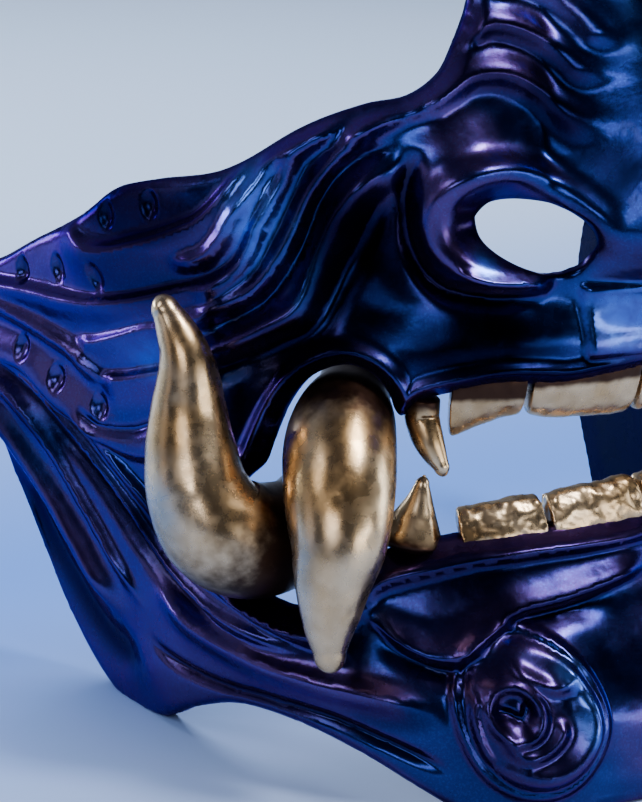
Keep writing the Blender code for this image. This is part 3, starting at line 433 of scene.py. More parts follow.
def mound(u, z, centre_u, centre_z, reach_u, reach_z):
    """A bell shape round a centre, with its reach either way."""
    return np.exp(-(((u - centre_u) / reach_u) ** 2) - ((z - centre_z) / reach_z) ** 2)


def curve(points, step):
    """A smooth line through the points, sampled about every step."""
    points = np.array(points, float)
    padded = np.vstack([2 * points[0] - points[1], points, 2 * points[-1] - points[-2]])
    sampled = []
    for before, start, end, after in zip(padded, padded[1:], padded[2:], padded[3:]):
        count = max(1, round(float(norm((end - start)[:2])) / step))
        t = np.arange(count)[:, None] / count
        sampled.append(hermite(t, start, (end - before) / 2, end, (after - start) / 2))
    return np.vstack(sampled + [points[-1:]])


def beside(u, z, line):
    """Distance of each point to a line, positive on its left, and how far along it, from 0 to 1."""
    nearest = np.full(u.shape, np.inf)
    side, along = np.zeros(u.shape), np.zeros(u.shape)
    lengths = norm(np.diff(line, axis=0), axis=1)
    starts = np.concatenate([[0], np.cumsum(lengths)])
    for (u0, z0), (u1, z1), length, start in zip(line, line[1:], lengths, starts):
        du, dz = (u1 - u0) / length, (z1 - z0) / length
        reach = np.clip((u - u0) * du + (z - z0) * dz, 0, length)
        away_u, away_z = u - u0 - reach * du, z - z0 - reach * dz
        square = away_u**2 + away_z**2
        closer = square < nearest
        nearest = np.where(closer, square, nearest)
        side = np.where(closer, np.sign(du * away_z - dz * away_u), side)
        along = np.where(closer, (start + reach) / starts[-1], along)
    return np.sqrt(nearest) * np.where(side == 0, 1, side), along


def inside(points, outline):
    """Which points lie inside a closed outline."""
    found = np.zeros(len(points), bool)
    for (u0, z0), (u1, z1) in zip(outline, np.roll(outline, -1, axis=0)):
        if z0 == z1:
            continue
        crosses = (z0 > points[:, 1]) != (z1 > points[:, 1])
        found ^= crosses & (points[:, 0] < (u1 - u0) * (points[:, 1] - z0) / (z1 - z0) + u0)
    return found


# The curved base
def quarter_plan(roundness):
    """A quarter of a superellipse, as its side and front reach at each share of its own girth."""
    angle = np.linspace(0, math.pi / 2, PLAN_POINTS)
    side = np.sin(angle) ** (2 / roundness)
    front = np.cos(angle) ** (2 / roundness)
    steps = np.hypot(np.diff(side) * SIDE_HALF_WIDTH, np.diff(front) * FRONT_DEPTH)
    girth = np.concatenate([[0], np.cumsum(steps)])
    return girth / girth[-1], side, front


FACE_PLAN = quarter_plan(FACE_ROUNDNESS)
CHIN_PLAN = quarter_plan(CHIN_ROUNDNESS)


def base_point(s, z):
    """Point of the base at signed girth s and height z: right, forward and up, in millimetres."""
    share = np.abs(s) / HALF_GIRTH
    face = ease(*CHIN_BLEND, z)
    side, front = (
        np.interp(share, FACE_PLAN[0], FACE_PLAN[i]) * face
        + np.interp(share, CHIN_PLAN[0], CHIN_PLAN[i]) * (1 - face)
        for i in (1, 2)
    )
    right = np.sign(s) * side * table(WIDTH_ROWS, z)
    forward = front * table(DEPTH_ROWS, z) - np.maximum(np.abs(s) - HALF_GIRTH, 0)
    return np.stack([right, forward, z + 0 * right], axis=-1)


def place(s, z, out):
    """Point that stands out from the base along its level normal."""
    s, z = np.asarray(s, float), np.asarray(z, float)
    tangent = base_point(s + 0.5, z) - base_point(s - 0.5, z)
    normal = np.stack([-tangent[..., 1], tangent[..., 0], 0 * tangent[..., 2]], axis=-1)
    normal /= norm(normal, axis=-1, keepdims=True)
    return base_point(s, z) + np.asarray(out)[..., None] * normal


def to_world(points):
    """Leans the face back on its feet, turns it to look along -Y and grinds its feet flat, in metres."""
    right, forward, up = np.moveaxis(np.asarray(points, float), -1, 0)
    lean = math.radians(LEAN_BACK)
    height = up * math.cos(lean) + forward * math.sin(lean) - REST_HEIGHT
    depth = forward * math.cos(lean) - up * math.sin(lean)
    return np.stack([right, DEPTH_CENTRE - depth, np.maximum(height, 0)], axis=-1) * MM


# Relief, as how far it stands out at girth u and height z
def nose_out(u, z):
    reach = table(NOSE_REACH_ROWS, z)
    return table(NOSE_OUT_ROWS, z) * (1 - ease(NOSE_RIDGE_SHARE, 1, u / reach)) * ease(*NOSE_FOOT, z)


def swellings_out(u, z):
    total = np.zeros(u.shape)
    for _, *where, height in SWELLINGS:
        total += height * mound(u, z, *where)
    return total


def funnel_out(u, z):
    """A ring that rises round the nostril and falls into it."""
    span = np.hypot((u - FUNNEL_CENTRE[0]) / FUNNEL_REACH[0], (z - FUNNEL_CENTRE[1]) / FUNNEL_REACH[1])
    rim = FUNNEL_RISE * bell((span - 1) / np.where(span > 1, *FUNNEL_RIM))
    return rim - FUNNEL_DROP * (1 - ease(*FUNNEL_WALL, span))


def philtrum_out(u, z):
    low, high = PHILTRUM_HEIGHTS
    across = 1 - ease(PHILTRUM_HALF_WIDTH - PHILTRUM_EDGE, PHILTRUM_HALF_WIDTH, u)
    upright = ease(low - PHILTRUM_EDGE, low, z) * (1 - ease(high - PHILTRUM_EDGE, high, z))
    return PHILTRUM_OUT * across * upright


def broad_out(u, z):
    """The main forms, which the inside of the shell follows too."""
    return nose_out(u, z) + swellings_out(u, z) + funnel_out(u, z)


def curl_line():
    """Crest of the coiled arm, from the bead round to its end above the ring."""
    angles = np.radians(np.linspace(*ARM_TURN, CURL_POINTS))
    radii = np.linspace(*ARM_RADII, CURL_POINTS)
    return np.stack([radii * np.cos(angles), radii * np.sin(angles)], 1) + CURL_CENTRE


def fold_out(u, z, height, above, below, line):
    distance, along = beside(u, z, line)
    width = np.where(distance > 0, above, below)
    fade = ease(0, FOLD_FADE, along) * (1 - ease(1 - FOLD_FADE, 1, along))
    return height * bell(distance / width) * fade


def curl_out(u, z):
    reach = np.hypot(u - CURL_CENTRE[0], z - CURL_CENTRE[1])
    boss_radius, boss_height = BOSS
    total = boss_height * (1 - ease(boss_radius, boss_radius + CURL_SLOPE, reach))
    groove_radius, groove_width, groove_height = BOSS_GROOVE
    total += groove_height * bell((reach - groove_radius) / groove_width)
    ring_u, ring_z, ring_radius, ring_width, ring_height = RING
    away = np.hypot(u - ring_u, z - ring_z) - ring_radius
    total += ring_height * bell(away / ring_width)
    bead_u, bead_z, bead_radius, bead_height = BEAD
    total += bead_height * mound(u, z, bead_u, bead_z, bead_radius, bead_radius)
    arm_width, arm_height = ARM
    return total + fold_out(u, z, arm_height, arm_width, arm_width, curl_line())


def fine_out(u, z):
    """The cast relief that only the outside has."""
    total = philtrum_out(u, z) + curl_out(u, z)
    for _, height, above, below, points in FOLDS:
        total += fold_out(u, z, height, above, below, curve(points, FOLD_STEP))
    distance, _ = beside(u, z, MOUTH_LINE)
    crest, width, rise = LIP_ROLL
    return total + rise * bell((np.abs(distance) - crest) / width)


def dents_out(u, z):
    """Oval dents with a faint raised lip."""
    half_width, half_height, depth = DENT_SIZE
    lip, place_share, width_share = DENT_LIP
    total = np.zeros(u.shape)
    for centre_u, centre_z in DENTS:
        span = np.hypot((u - centre_u) / half_width, (z - centre_z) / half_height)
        total += lip * depth * bell((span - place_share) / width_share) - depth * bell(span**2)
    return total


def curl_folds_out(u, z):
    total = np.zeros(u.shape)
    for _, height, width, points in CURL_FOLDS:
        total += fold_out(u, z, height, width, width, curve(points, FOLD_STEP))
    return total


def patches_at(rows, u, z):
    """How far the patches of paint in a table reach, from 0 to 1."""
    total = np.zeros(u.shape)
    for _, *where, share in rows:
        total = np.maximum(total, share * ease(*PATCH_EDGE, mound(u, z, *where)))
    return total


def waves_out(s, z):
    """Slight unevenness, which differs from one side of the face to the other."""
    total = np.zeros(s.shape)
    for along, up, height in WAVES:
        total += [height * noise.noise((a / along, b / up, along)) for a, b in zip(s.tolist(), z.tolist())]
    return total


# The skin, as a flat pattern of points and triangles
OUTER_LINE = curve(OUTLINE, SKIN_STEP)
MOUTH_LINE = curve(MOUTH, SKIN_STEP)
NOSTRIL_LINE = curve(NOSTRIL + NOSTRIL[:1], SKIN_STEP)[:-1]
EDGE_LINES = [curve(line, LINE_STEP) for line in (OUTLINE, MOUTH, NOSTRIL + NOSTRIL[:1])]


def edge_distance(u, z):
    """Distance to the nearest edge of the shell."""
    return np.min([np.abs(beside(u, z, line)[0]) for line in EDGE_LINES], axis=0)


def rounded_edge(near, radius):
    """How far a rounded edge falls back at a distance from it."""
    near = np.minimum(near, radius)
    return radius - np.sqrt(radius**2 - (radius - near) ** 2)


def outer_out(s, z):
    u = np.abs(s)
    near = edge_distance(u, z)
    fine = fine_out(u, z) + curl_folds_out(u, z) + dents_out(u, z) + waves_out(s, z)
    return broad_out(u, z) + fine * ease(0, EDGE_ROUND, near) - EDGE_SHARE * rounded_edge(near, EDGE_ROUND)


def inner_out(s, z):
    u = np.abs(s)
    return broad_out(u, z) - WALL + rounded_edge(edge_distance(u, z), INSIDE_ROUND)


def beside_line(line, distance):
    """The line moved to its left."""
    along = np.gradient(line, axis=0)
    across = np.stack([-along[:, 1], along[:, 0]], 1) / norm(along, axis=1)[:, None]
    return line + across * distance


def guide_rows():
    """Rows of points along the edges, the curl and the folds, the ones that matter most first."""
    inwards = ((OUTER_LINE, -1), (MOUTH_LINE, 1), (NOSTRIL_LINE, -1))
    rims = [beside_line(line, way * side * row) for way in (1, -1) for row in RIM_ROWS
            for line, side in inwards]
    crests, feet = [curve(curl_line(), SKIN_STEP)], []
    for _, _, above, below, points in FOLDS:
        crest = curve(points, SKIN_STEP)
        crests.append(crest)
        for share in FOLD_ROWS:
            feet += [beside_line(crest, above * share), beside_line(crest, -below * share)]
    return np.vstack(rims + crests + feet)


def thinned(points, clear, kept):
    """The points kept so far and each further one that comes no nearer than clear to an earlier one."""
    cells = {}
    found = [tuple(point) for point in kept.tolist()]
    for point in found:
        cells.setdefault((int(point[0] // clear), int(point[1] // clear)), []).append(point)
    for u, z in points.tolist():
        i, j = int(u // clear), int(z // clear)
        block = ((a, b) for a in (i - 1, i, i + 1) for b in (j - 1, j, j + 1))
        around = [other for cell in block for other in cells.get(cell, ())]
        if all((u - x) ** 2 + (z - y) ** 2 > clear * clear for x, y in around):
            cells.setdefault((i, j), []).append((u, z))
            found.append((u, z))
    return found


def half_pattern(step, rows):
    """Triangles of one half of the sheet, on points along the rows and on a grid about a step apart."""
    nose_top, lip_top = OUTER_LINE[0], MOUTH_LINE[-1]
    lip_bottom, chin = MOUTH_LINE[0], OUTER_LINE[-1]
    border = np.vstack([OUTER_LINE, middle_points(chin, lip_bottom, step),
                        MOUTH_LINE, middle_points(lip_top, nose_top, step)])
    low, high, far = OUTER_LINE[:, 1].min(), nose_top[1], OUTER_LINE[:, 0].max()
    row = step * math.sqrt(3) / 2
    grid = np.array([((i + 0.5 * (j % 2) + 0.5) * step, low + j * row)
                     for j in range(int((high - low) / row)) for i in range(int(far / step))])
    free = np.vstack([rows, grid]) if len(rows) else grid
    free = free[(free[:, 0] > MIDDLE_CLEAR) & inside(free, border) & ~inside(free, NOSTRIL_LINE)]
    points = thinned(free, POINT_CLEAR * step, np.vstack([border, NOSTRIL_LINE]))
    links = loop_edges(0, len(border)) + loop_edges(len(border), len(NOSTRIL_LINE))
    made, _, faces, *_ = delaunay_2d_cdt(points, links, [], 0, SAME_POINT)
    made = np.array([tuple(point) for point in made])
    faces = np.array(faces)
    middles = made[faces].mean(axis=1)
    return made, faces[inside(middles, border) & ~inside(middles, NOSTRIL_LINE)]


def middle_points(start, end, step):
    """Points between two ends on the middle line."""
    return np.linspace(start, end, round(abs(end[1] - start[1]) / step) + 1)[1:-1]


def loop_edges(first, count):
    return [(first + i, first + (i + 1) % count) for i in range(count)]


def mirrored(points, faces):
    """Both halves of a half pattern, sharing the points of the middle line."""
    on_middle = points[:, 0] < SAME_POINT
    twin = np.where(on_middle, np.arange(len(points)), 0)
    twin[~on_middle] = len(points) + np.arange((~on_middle).sum())
    both = np.vstack([points, points[~on_middle] * (-1, 1)])
    return both, np.vstack([faces, twin[faces[:, ::-1]]])


def edges_of(faces):
    """The three edges of each triangle, in its direction."""
    return np.concatenate([faces[:, [0, 1]], faces[:, [1, 2]], faces[:, [2, 0]]])


def border_edges(faces):
    """Edges that only one triangle uses, in that triangle's direction."""
    known = {tuple(edge) for edge in edges_of(faces).tolist()}
    return [edge for edge in known if (edge[1], edge[0]) not in known]


def smoothed(values, faces):
    """Values at the points of a mesh, each drawn towards those beside it."""
    first, second = np.unique(np.sort(edges_of(faces), axis=1), axis=0).T
    count = np.bincount(np.concatenate([first, second]), minlength=len(values))
    for _ in range(SMOOTH_ROUNDS):
        around = np.bincount(first, values[second], len(values))
        around += np.bincount(second, values[first], len(values))
        values = (values + around / count) / 2
    return values


def sheet_normals(out, s, z):
    """Which way the smooth form of a sheet faces at each point."""
    ends = []
    for across, up in ((1, 0), (-1, 0), (0, 1), (0, -1)):
        near_s, near_z = s + across * NORMAL_REACH, z + up * NORMAL_REACH
        ends.append(to_world(place(near_s, near_z, out(near_s, near_z))))
    facing = np.cross(ends[0] - ends[1], ends[2] - ends[3])
    return facing / norm(facing, axis=1)[:, None]


def shade_by(mesh, normals, share):
    """Shades the mesh's first points by the given normals, as far as each point's share says."""
    owner = np.empty(len(mesh.loops), np.int32)
    mesh.loops.foreach_get("vertex_index", owner)
    corners = np.empty(len(owner) * 3, np.float32)
    mesh.corner_normals.foreach_get("vector", corners)
    corners = corners.reshape(-1, 3)
    given = np.repeat((owner.reshape(-1, 3) < len(normals)).all(axis=1), 3)
    kept = 1 - share[owner[given]][:, None]
    corners[given] = corners[given] * kept + normals[owner[given]] * (1 - kept)
    corners /= norm(corners, axis=1)[:, None]
    mesh.normals_split_custom_set(corners.tolist())


def skin_mesh():
    """Points, faces, marks of the paint, and the outer points' normals with how far each counts."""
    sheets = []
    for step, rows, out in ((SKIN_STEP, guide_rows(), outer_out), (INSIDE_STEP, (), inner_out)):
        pattern, faces = mirrored(*half_pattern(step, rows))
        s, z = pattern.T
        stand = smoothed(out(s, z), faces)
        sheets.append((pattern, faces, to_world(place(s, z, stand)), stand - broad_out(np.abs(s), z)))
    (outer_pattern, outer_faces, outer, relief), (inner_pattern, inner_faces, inner, _) = sheets
    key = {tuple(np.round(point, 4)): i + len(outer) for i, point in enumerate(inner_pattern)}
    wall = []
    for start, end in border_edges(outer_faces):
        low_start, low_end = (key[tuple(np.round(outer_pattern[i], 4))] for i in (start, end))
        wall += [(end, start, low_start), (end, low_start, low_end)]
    faces = outer_faces.tolist() + (inner_faces[:, ::-1] + len(outer)).tolist() + wall
    marks = {"relief": np.concatenate([relief, np.zeros(len(inner))]),
             "within": np.concatenate([np.zeros(len(outer)), np.ones(len(inner))])}
    for name, rows in PATCHES.items():
        marks[name] = np.concatenate([patches_at(rows, *np.abs(outer_pattern).T), np.zeros(len(inner))])
    s, z = outer_pattern.T
    share = ease(*NORMAL_CLEAR, edge_distance(np.abs(s), z))
    return np.vstack([outer, inner]), faces, marks, sheet_normals(outer_out, s, z), share


# Teeth, fangs and tusks
def pits(points, count, seed):
    """Small casting pits and bumps on a gold surface, as how far each point moves out, in millimetres."""
    random = np.random.default_rng(seed)
    move = np.zeros(len(points))
    for centre in points[random.integers(0, len(points), count)]:
        reach = random.uniform(*PIT_REACH)
        height = random.uniform(*PIT_HEIGHT)
        distance = norm(points - centre, axis=1) / MM
        move += height * bell(distance / reach)
    return move


def lumps(points, rows, seed):
    """Smooth unevenness of a gold surface, from rows of its size and height."""
    shift = Vector((seed, 0, 0))
    return sum(np.array([height * noise.noise(Vector(point) / (size * MM) + shift) for point in points])
               for size, height in rows)


def tusk_mesh(rows, mirror, around, seed):
    """A tapered, bent tusk through its table of sections, with a rounded tip and root."""
    rows = np.array(rows, float)
    rows[0, 3] = rows[:2, 3].max()
    rows = np.vstack([rows[0] + (rows[0] - rows[1]) * ROOT_STRETCH, rows])
    sections = curve(rows, TUSK_RINGS)
    centres = to_world(place(mirror * sections[:, 0], sections[:, 1], sections[:, 2]))
    radii = sections[:, 3] * MM
    turns = np.linspace(0, math.pi / 2, TIP_RINGS + 1)[1:-1]
    root_run = (centres[0] - centres[1]) / norm(centres[0] - centres[1])
    tip_run = (centres[-1] - centres[-2]) / norm(centres[-1] - centres[-2])
    root = centres[0] + np.outer(np.sin(turns[::-1]) * ROOT_LENGTH * radii[0], root_run)
    tip = centres[-1] + np.outer(np.sin(turns) * TIP_LENGTH * radii[-1], tip_run)
    centres = np.vstack([root, centres, tip])
    radii = np.concatenate([np.cos(turns[::-1]) * radii[0], radii, np.cos(turns) * radii[-1]])
    points, faces, outward = tube(centres, radii, around)
    run = np.concatenate([[0], np.repeat(np.linspace(0, 1, len(centres)), around), [1]])
    length = norm(np.diff(centres, axis=0), axis=1).sum() / MM
    move = lumps(points, TUSK_LUMPS, seed) + pits(points, TUSK_PITS, seed)
    move *= ease(0, TUSK_CALM[0], run * length) * ease(0, TUSK_CALM[1], (1 - run) * length)
    # brown root: dirt with painted shade where the tusk goes into the shell
    dirt_and_root_shade = 1 - ease(ROOT_DIRT_AND_SHADE[0] * length, ROOT_DIRT_AND_SHADE[1] * length, run * length)
    return points + outward * move[:, None] * MM, faces, {"dirt_and_root_shade": dirt_and_root_shade, "pit": move}


def tube(centres, radii, sides):
    """Rings round a bent line, closed by a point at each end, and which way each point faces."""
    along = np.gradient(centres, axis=0)
    along /= norm(along, axis=1, keepdims=True)
    side = np.cross(along[0], (0.0, 0.0, 1.0))
    points, outward = [centres[0]], [-along[0]]
    turn = np.linspace(0, 2 * math.pi, sides, endpoint=False)[:, None]
    for centre, direction, radius in zip(centres, along, radii):
        side = side - direction * np.dot(side, direction)
        side /= norm(side)
        ring = np.cos(turn) * side + np.sin(turn) * np.cross(direction, side)
        points += list(centre + radius * ring)
        outward += list(ring)
    points.append(centres[-1])
    outward.append(along[-1])
    last = len(points) - 1
    faces = []
    for k in range(sides):
        after = (k + 1) % sides
        faces.append((0, 1 + after, 1 + k))
        for ring in range(len(centres) - 1):
            a, b = 1 + ring * sides, 1 + (ring + 1) * sides
            faces.append((a + k, a + after, b + after, b + k))
        faces.append((last, last - sides + k, last - sides + after))
    return np.array(points), faces, np.array(outward)


def lip_height(u, upper):
    """Height of the mouth's edge where the flat teeth sit."""
    near_front = MOUTH_LINE[:, 0] < FANG_GIRTH
    line = MOUTH_LINE[near_front & ((MOUTH_LINE[:, 1] > MOUTH_MIDDLE) == upper)]
    order = np.argsort(line[:, 0])
    return np.interp(u, line[order, 0], line[order, 1])


def tooth_mesh(row, mirror, upper):
    """A flat tooth that hangs from the lip or stands on it, still coarse."""
    _, start, end, start_length, end_length, front, back = row
    sign = -1 if upper else 1
    points, faces = [], []
    for share in TOOTH_SHARES:
        u = start + (end - start) * share
        length = start_length + (end_length - start_length) * share
        if share in (0, 1):
            length *= TOOTH_END_SHARE
        for reach, depth in TOOTH_PROFILE:
            z = lip_height(u, upper) + sign * (length * reach - ROOT_SET * (1 - reach))
            stand = broad_out(np.array(u), np.array(z)) + front + (back - front) * depth
            points.append(place(mirror * u, z, stand))
    ring = len(TOOTH_PROFILE)
    for column in range(len(TOOTH_SHARES) - 1):
        for k in range(ring):
            a, b = column * ring + k, column * ring + (k + 1) % ring
            faces.append((a, b, b + ring, a + ring))
    last = (len(TOOTH_SHARES) - 1) * ring
    faces.append(tuple(range(ring - 1, -1, -1)))
    faces.append(tuple(range(last, last + ring)))
    return to_world(points), faces


# Objects
def add_object(name, data):
    made = bpy.data.objects.new(name, data)
    bpy.context.scene.collection.objects.link(made)
    return made


def add_mesh(name, points, faces, marks=None):
    """A closed mesh object, its faces outwards, with named values at its points."""
    mesh = bpy.data.meshes.new(name)
    mesh.from_pydata([tuple(point) for point in points], [], [tuple(face) for face in faces])
    for mark, values in (marks or {}).items():
        kept = mesh.attributes.new(mark, "FLOAT", "POINT")
        kept.data.foreach_set("value", np.asarray(values, np.float32))
    solid = bmesh.new()
    solid.from_mesh(mesh)
    bmesh.ops.recalc_face_normals(solid, faces=solid.faces)
    solid.to_mesh(mesh)
    solid.free()
    mesh.shade_smooth()
    return add_object(name, mesh)


def stand_for(piece, node, surface):
    """Hands a finished piece over to the frame, in place of the node it has the form of."""
    piece.data.materials.append(surface)
    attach(piece, "root")
    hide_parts(node)


def worn_tooth(name, row, mirror, upper, seed):
    """The coarse tooth, subdivided and worn uneven."""
    coarse = add_mesh(name + "_coarse", *tooth_mesh(row, mirror, upper))
    smooth = coarse.modifiers.new("Subdivision", "SUBSURF")
    smooth.levels = smooth.render_levels = TOOTH_LEVELS
    fine = coarse.evaluated_get(bpy.context.evaluated_depsgraph_get()).to_mesh()
    points = np.array([vertex.co for vertex in fine.vertices])
    normals = np.array([vertex.normal for vertex in fine.vertices])
    faces = [tuple(face.vertices) for face in fine.polygons]
    bpy.data.objects.remove(coarse, do_unlink=True)
    wear = UPPER_WEAR if upper else LOWER_WEAR
    move = wear * lumps(points, TOOTH_LUMPS, seed) + pits(points, TOOTH_PITS, seed)
    free_end = points[:, 2].min() if upper else points[:, 2].max()
    # brown root: dirt with painted shade where the tooth goes into the lip
    dirt_and_root_shade = ease(*TOOTH_DIRT_AND_SHADE, np.abs(points[:, 2] - free_end) / MM)
    return add_mesh(name, points + normals * move[:, None] * MM, faces, {"dirt_and_root_shade": dirt_and_root_shade, "pit": move})


# Materials
def nodes_of(name):
    made = bpy.data.materials.new(name)
    made.use_nodes = True
    tree = made.node_tree
    return made, tree, tree.nodes["Principled BSDF"]


def set_inputs(tree, node, values):
    """Links each socket of a node to another's output, or sets it to a number or a colour."""
    for name, value in values.items():
        if isinstance(value, bpy.types.NodeSocket):
            tree.links.new(value, node.inputs[name])
        else:
            node.inputs[name].default_value = (*value, 1) if isinstance(value, tuple) else value


def node_of(tree, kind, inputs, output=0, **settings):
    """An output of a new node."""
    node = tree.nodes.new("ShaderNode" + kind)
    for name, value in settings.items():
        setattr(node, name, value)
    set_inputs(tree, node, inputs)
    return node.outputs[output]


def place_of(tree):
    """Position on the object, in metres."""
    return node_of(tree, "TexCoord", {}, "Object")


def noise_of(tree, size_mm, detail=3.0, roughness=0.55):
    """Cloudy values between 0 and 1, whose clouds are about size_mm across."""
    inputs = {"Vector": place_of(tree), "Scale": 1 / (size_mm * MM), "Detail": detail,
              "Roughness": roughness}
    return node_of(tree, "TexNoise", inputs, "Fac")


def mark_of(tree, name):
    """A value kept at the mesh's points."""
    return node_of(tree, "Attribute", {}, "Fac", attribute_name=name)


def ramp(tree, value, low, high, start=0.0, end=1.0):
    """Smooth step of a value between two limits."""
    inputs = {"Value": value, "From Min": low, "From Max": high, "To Min": start, "To Max": end}
    return node_of(tree, "MapRange", inputs, "Result", interpolation_type="SMOOTHSTEP")


def cloudy(tree, cloud, span):
    """Noise, eased over a span."""
    return ramp(tree, noise_of(tree, *cloud), *span)


def maths(tree, operation, first, second):
    return node_of(tree, "Math", {0: first, 1: second}, operation=operation)


def plus(tree, first, second):
    return maths(tree, "ADD", first, second)


def times(tree, first, second):
    return maths(tree, "MULTIPLY", first, second)


def mixed(tree, share, first, second):
    """Colour between two, each a colour or a socket."""
    return node_of(tree, "Mix", {"Factor": share, 6: first, 7: second}, 2, data_type="RGBA")


def turned_away(tree):
    """How far the surface turns from the face's front corners to its sides and back, from 0 to 2."""
    normal = node_of(tree, "NewGeometry", {}, "Normal")
    folded = node_of(tree, "VectorMath", {0: normal}, operation="ABSOLUTE")
    facing = 0.0
    for source, axis, share in zip((folded, normal, normal), "XYZ", Vector(FRONT_CORNER).normalized()):
        facing = plus(tree, facing, times(tree, node_of(tree, "SeparateXYZ", {0: source}, axis), share))
    return maths(tree, "SUBTRACT", 1.0, facing)


def bumped(tree, rows):
    """Bumps laid over each other, from rows of size, detail, strength and height in millimetres."""
    below = {}
    for size, detail, strength, height in rows:
        inputs = {"Strength": strength, "Distance": height * MM, "Height": noise_of(tree, size, detail)}
        below = {"Normal": node_of(tree, "Bump", inputs | below)}
    return below["Normal"]


def paint():
    """Colour-shift paint: blue and violet metal flakes over black, under a thin gloss coat, with painted
    shade, painted highlights and a painted reflection colour.
    """
    made, tree, shader = nodes_of("colour_shift_paint")
    relief, shade = mark_of(tree, "relief"), mark_of(tree, "shade")
    cloud = times(tree, maths(tree, "SUBTRACT", noise_of(tree, CLOUD_SIZE), 0.5), CLOUD_SHIFT)
    # painted reflection colour: violet where the surface turns from the front corners, in the violet
    # patches and on the crests of the relief
    turned = plus(tree, times(tree, mark_of(tree, "violet"), PATCH_SHIFT), turned_away(tree))
    turned = plus(tree, turned, ramp(tree, relief, *CREST_SHIFT))
    body = mixed(tree, ramp(tree, plus(tree, turned, cloud), *VIOLET_SPAN), BLUE, VIOLET)
    # painted highlights: brighter blue in the highlight patches
    body = mixed(tree, times(tree, mark_of(tree, "flake"), cloudy(tree, *PAINTED_HIGHLIGHT_CLOUD)), body, PAINTED_HIGHLIGHT_BLUE)
    body = mixed(tree, times(tree, cloudy(tree, *FLAKE), FLAKE_SHARE), body, SPARK)
    # painted shade: near black in the sunk parts of the relief and in the shade patches
    dark = maths(tree, "MAXIMUM", ramp(tree, relief, *SUNK_SPAN), times(tree, shade, SHADE_SHARE))
    body = mixed(tree, mark_of(tree, "within"), mixed(tree, dark, body, NAVY), INSIDE_BLACK)
    set_inputs(tree, shader, {
        "Base Color": body,
        "Metallic": 1.0,
        "Specular Tint": EDGE_TINT,
        "Roughness": cloudy(tree, *PAINT_ROUGHNESS),
        "Normal": bumped(tree, PAINT_BUMPS),
        "Sheen Weight": SHEEN_WEIGHT,
        "Sheen Roughness": SHEEN_ROUGHNESS,
        "Sheen Tint": SHEEN_TINT,
        # the coat thins out where shade is painted
        "Coat Weight": ramp(tree, shade, *COAT_SPAN),
        "Coat Roughness": COAT_ROUGHNESS,
        "Coat IOR": COAT_INDEX,
        "Coat Normal": bumped(tree, COAT_BUMPS),
    })
    return made


def gold():
    """Aged gold paint: brown in worn patches and in the deeper pits, and brown at the root, which is dirt
    with painted shade where the piece goes into the shell.
    """
    made, tree, shader = nodes_of("aged_gold")
    cloud = times(tree, maths(tree, "SUBTRACT", noise_of(tree, *DIRT_AND_SHADE_CLOUD), 0.5), DIRT_AND_SHADE_SHIFT)
    # dark root: dirt with painted shade where the piece goes into the shell
    root = ramp(tree, plus(tree, mark_of(tree, "dirt_and_root_shade"), cloud), *DIRT_AND_SHADE_SPAN)
    # brown in the deeper pits and in worn patches
    pits_and_wear = maths(tree, "MAXIMUM", ramp(tree, mark_of(tree, "pit"), *PIT_SPAN), cloudy(tree, *RUBBED))
    brown = maths(tree, "MAXIMUM", root, times(tree, pits_and_wear, RUBBED_SHARE))
    tone = mixed(tree, cloudy(tree, *WARM_TONE), GOLD_PALE, GOLD_WARM)
    rough = plus(tree, noise_of(tree, *ROUGH_CLOUD), times(tree, brown, BROWN_ROUGHNESS))
    set_inputs(tree, shader, {
        "Base Color": mixed(tree, brown, tone, GOLD_BROWN),
        "Metallic": 1.0,
        "Roughness": ramp(tree, rough, *GOLD_ROUGHNESS),
        "Normal": bumped(tree, GOLD_BUMPS),
    })
    return made


def table_top():
    """Pale matt table, bluer and darker in its middle than before and behind it, with shade painted round
    the mask.
    """
    made, tree, shader = nodes_of("pale_table")
    back = node_of(tree, "SeparateXYZ", {0: place_of(tree)}, "Y")
    behind, beyond = (ramp(tree, back, *span) for span in FLOOR_SPANS)
    # painted shade in the middle of the table
    tone = mixed(tree, beyond, mixed(tree, behind, FLOOR_FRONT, FLOOR_NEAR_SHADE), FLOOR_FAR)
    set_inputs(tree, shader, {"Base Color": tone, "Roughness": FLOOR_ROUGHNESS})
    return made


# The room
def add_floor():
    mesh = bpy.data.meshes.new("table")
    corners = [(x * FLOOR_REACH, y * FLOOR_REACH, 0) for x, y in ((-1, -1), (1, -1), (1, 1), (-1, 1))]
    mesh.from_pydata(corners, [], [(0, 1, 2, 3)])
    mesh.materials.append(table_top())
    table_piece = add_object("table", mesh)
    table_piece.location.z = -FLOOR_CLEAR


def add_world():
    """Soft studio surroundings: bright behind and above the mask, dark towards the room."""
    world = bpy.data.worlds.new("studio")
    bpy.context.scene.world = world
    world.use_nodes = True
    tree = world.node_tree
    direction = node_of(tree, "TexCoord", {}, "Generated")
    aim = Vector(BRIGHT_SIDE).normalized()
    bright = node_of(tree, "VectorMath", {0: direction, 1: aim}, "Value", operation="DOT_PRODUCT")
    height = node_of(tree, "SeparateXYZ", {0: direction}, "Z")
    above = mixed(tree, ramp(tree, height, *ROOM_TOP_SPAN), ROOM_DARK, ROOM_TOP)
    light = mixed(tree, ramp(tree, bright, *ROOM_BRIGHT_SPAN), above, ROOM_BRIGHT)
    set_inputs(tree, tree.nodes["Background"], {"Color": light, "Strength": 1.0})


def add_light(name, place_m, aim_m, size_m, power_w, colour):
    light = bpy.data.lights.new(name, "AREA")
    light.shape = "RECTANGLE"
    light.size, light.size_y = size_m
    light.energy = power_w
    light.color = colour
    holder = add_object(name, light)
    holder.location = place_m
    holder.visible_camera = False
    holder.rotation_euler = (Vector(aim_m) - Vector(place_m)).to_track_quat("-Z", "Y").to_euler()
    return holder


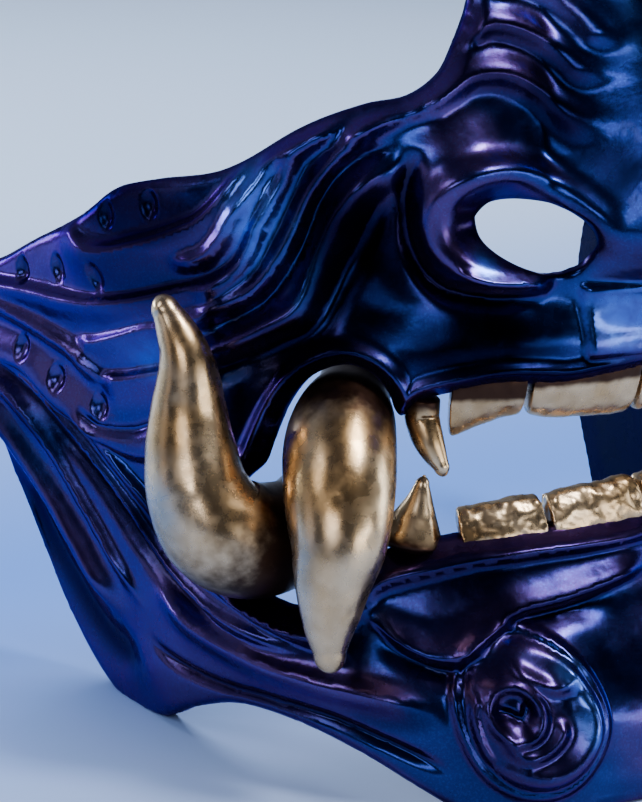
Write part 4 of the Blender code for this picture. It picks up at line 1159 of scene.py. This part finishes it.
def add_camera():
    """The photograph's view, found on the upright face and then leant back with it."""
    turn, tilt, lean = (math.radians(angle) for angle in (VIEW_TURN, VIEW_TILT, LEAN_BACK))
    right = Vector((math.cos(turn), math.sin(turn), 0))
    back = Vector((-math.sin(turn) * math.cos(tilt), math.cos(turn) * math.cos(tilt), math.sin(tilt)))
    up = right.cross(back)
    centre = right * VIEW_RIGHT + up * VIEW_UP + back * VIEW_DISTANCE
    # the base looks along its second axis, the mask along -Y
    leant = Matrix.Rotation(lean, 3, "X")
    turned = Matrix.Diagonal((1, -1, 1))
    axes = [turned @ (leant @ axis) for axis in (right, up, back)]
    centre = turned @ (leant @ centre) + Vector((0, DEPTH_CENTRE, -REST_HEIGHT))
    camera = bpy.data.cameras.new("camera")
    camera.sensor_fit = "VERTICAL"
    camera.sensor_height = SENSOR_HEIGHT
    camera.lens = SENSOR_HEIGHT * VIEW_FOCUS / IMAGE_HEIGHT
    holder = add_object("camera", camera)
    pose = Matrix(axes).transposed().to_4x4()
    pose.translation = centre * MM
    holder.matrix_world = pose
    bpy.context.scene.camera = holder


# The pieces
def add_pieces():
    blue, aged = paint(), gold()
    *form, normals, share = skin_mesh()
    skin = add_mesh("skin", *form)
    skin.data.set_sharp_from_angle(angle=math.radians(SHARP_ANGLE))
    shade_by(skin.data, normals, share)
    stand_for(skin, "mask_shell", blue)
    seed = 0
    pointed = (("upper_tusk", UPPER_TUSK, TUSK_POINTS), ("lower_tusk", LOWER_TUSK, TUSK_POINTS),
               ("upper_fang", UPPER_FANG, FANG_POINTS), ("lower_fang", LOWER_FANG, FANG_POINTS))
    for side, mirror in (("right", -1), ("left", 1)):
        for name, rows, around in pointed:
            seed += 1
            piece = add_mesh(f"worn_{name}_{side}", *tusk_mesh(rows, mirror, around, seed))
            stand_for(piece, f"{name}_{side}", aged)
        for teeth, upper in ((UPPER_TEETH, True), (LOWER_TEETH, False)):
            for row in teeth:
                seed += 1
                piece = worn_tooth(f"worn_{row[0]}_{side}", row, mirror, upper, seed)
                stand_for(piece, f"{row[0]}_{side}", aged)


add_camera()
add_pieces()
add_floor()
add_world()
for light in LIGHTS:
    add_light(*light)
add_light(*SKY_LIGHT).visible_glossy = False  # it lights the table alone
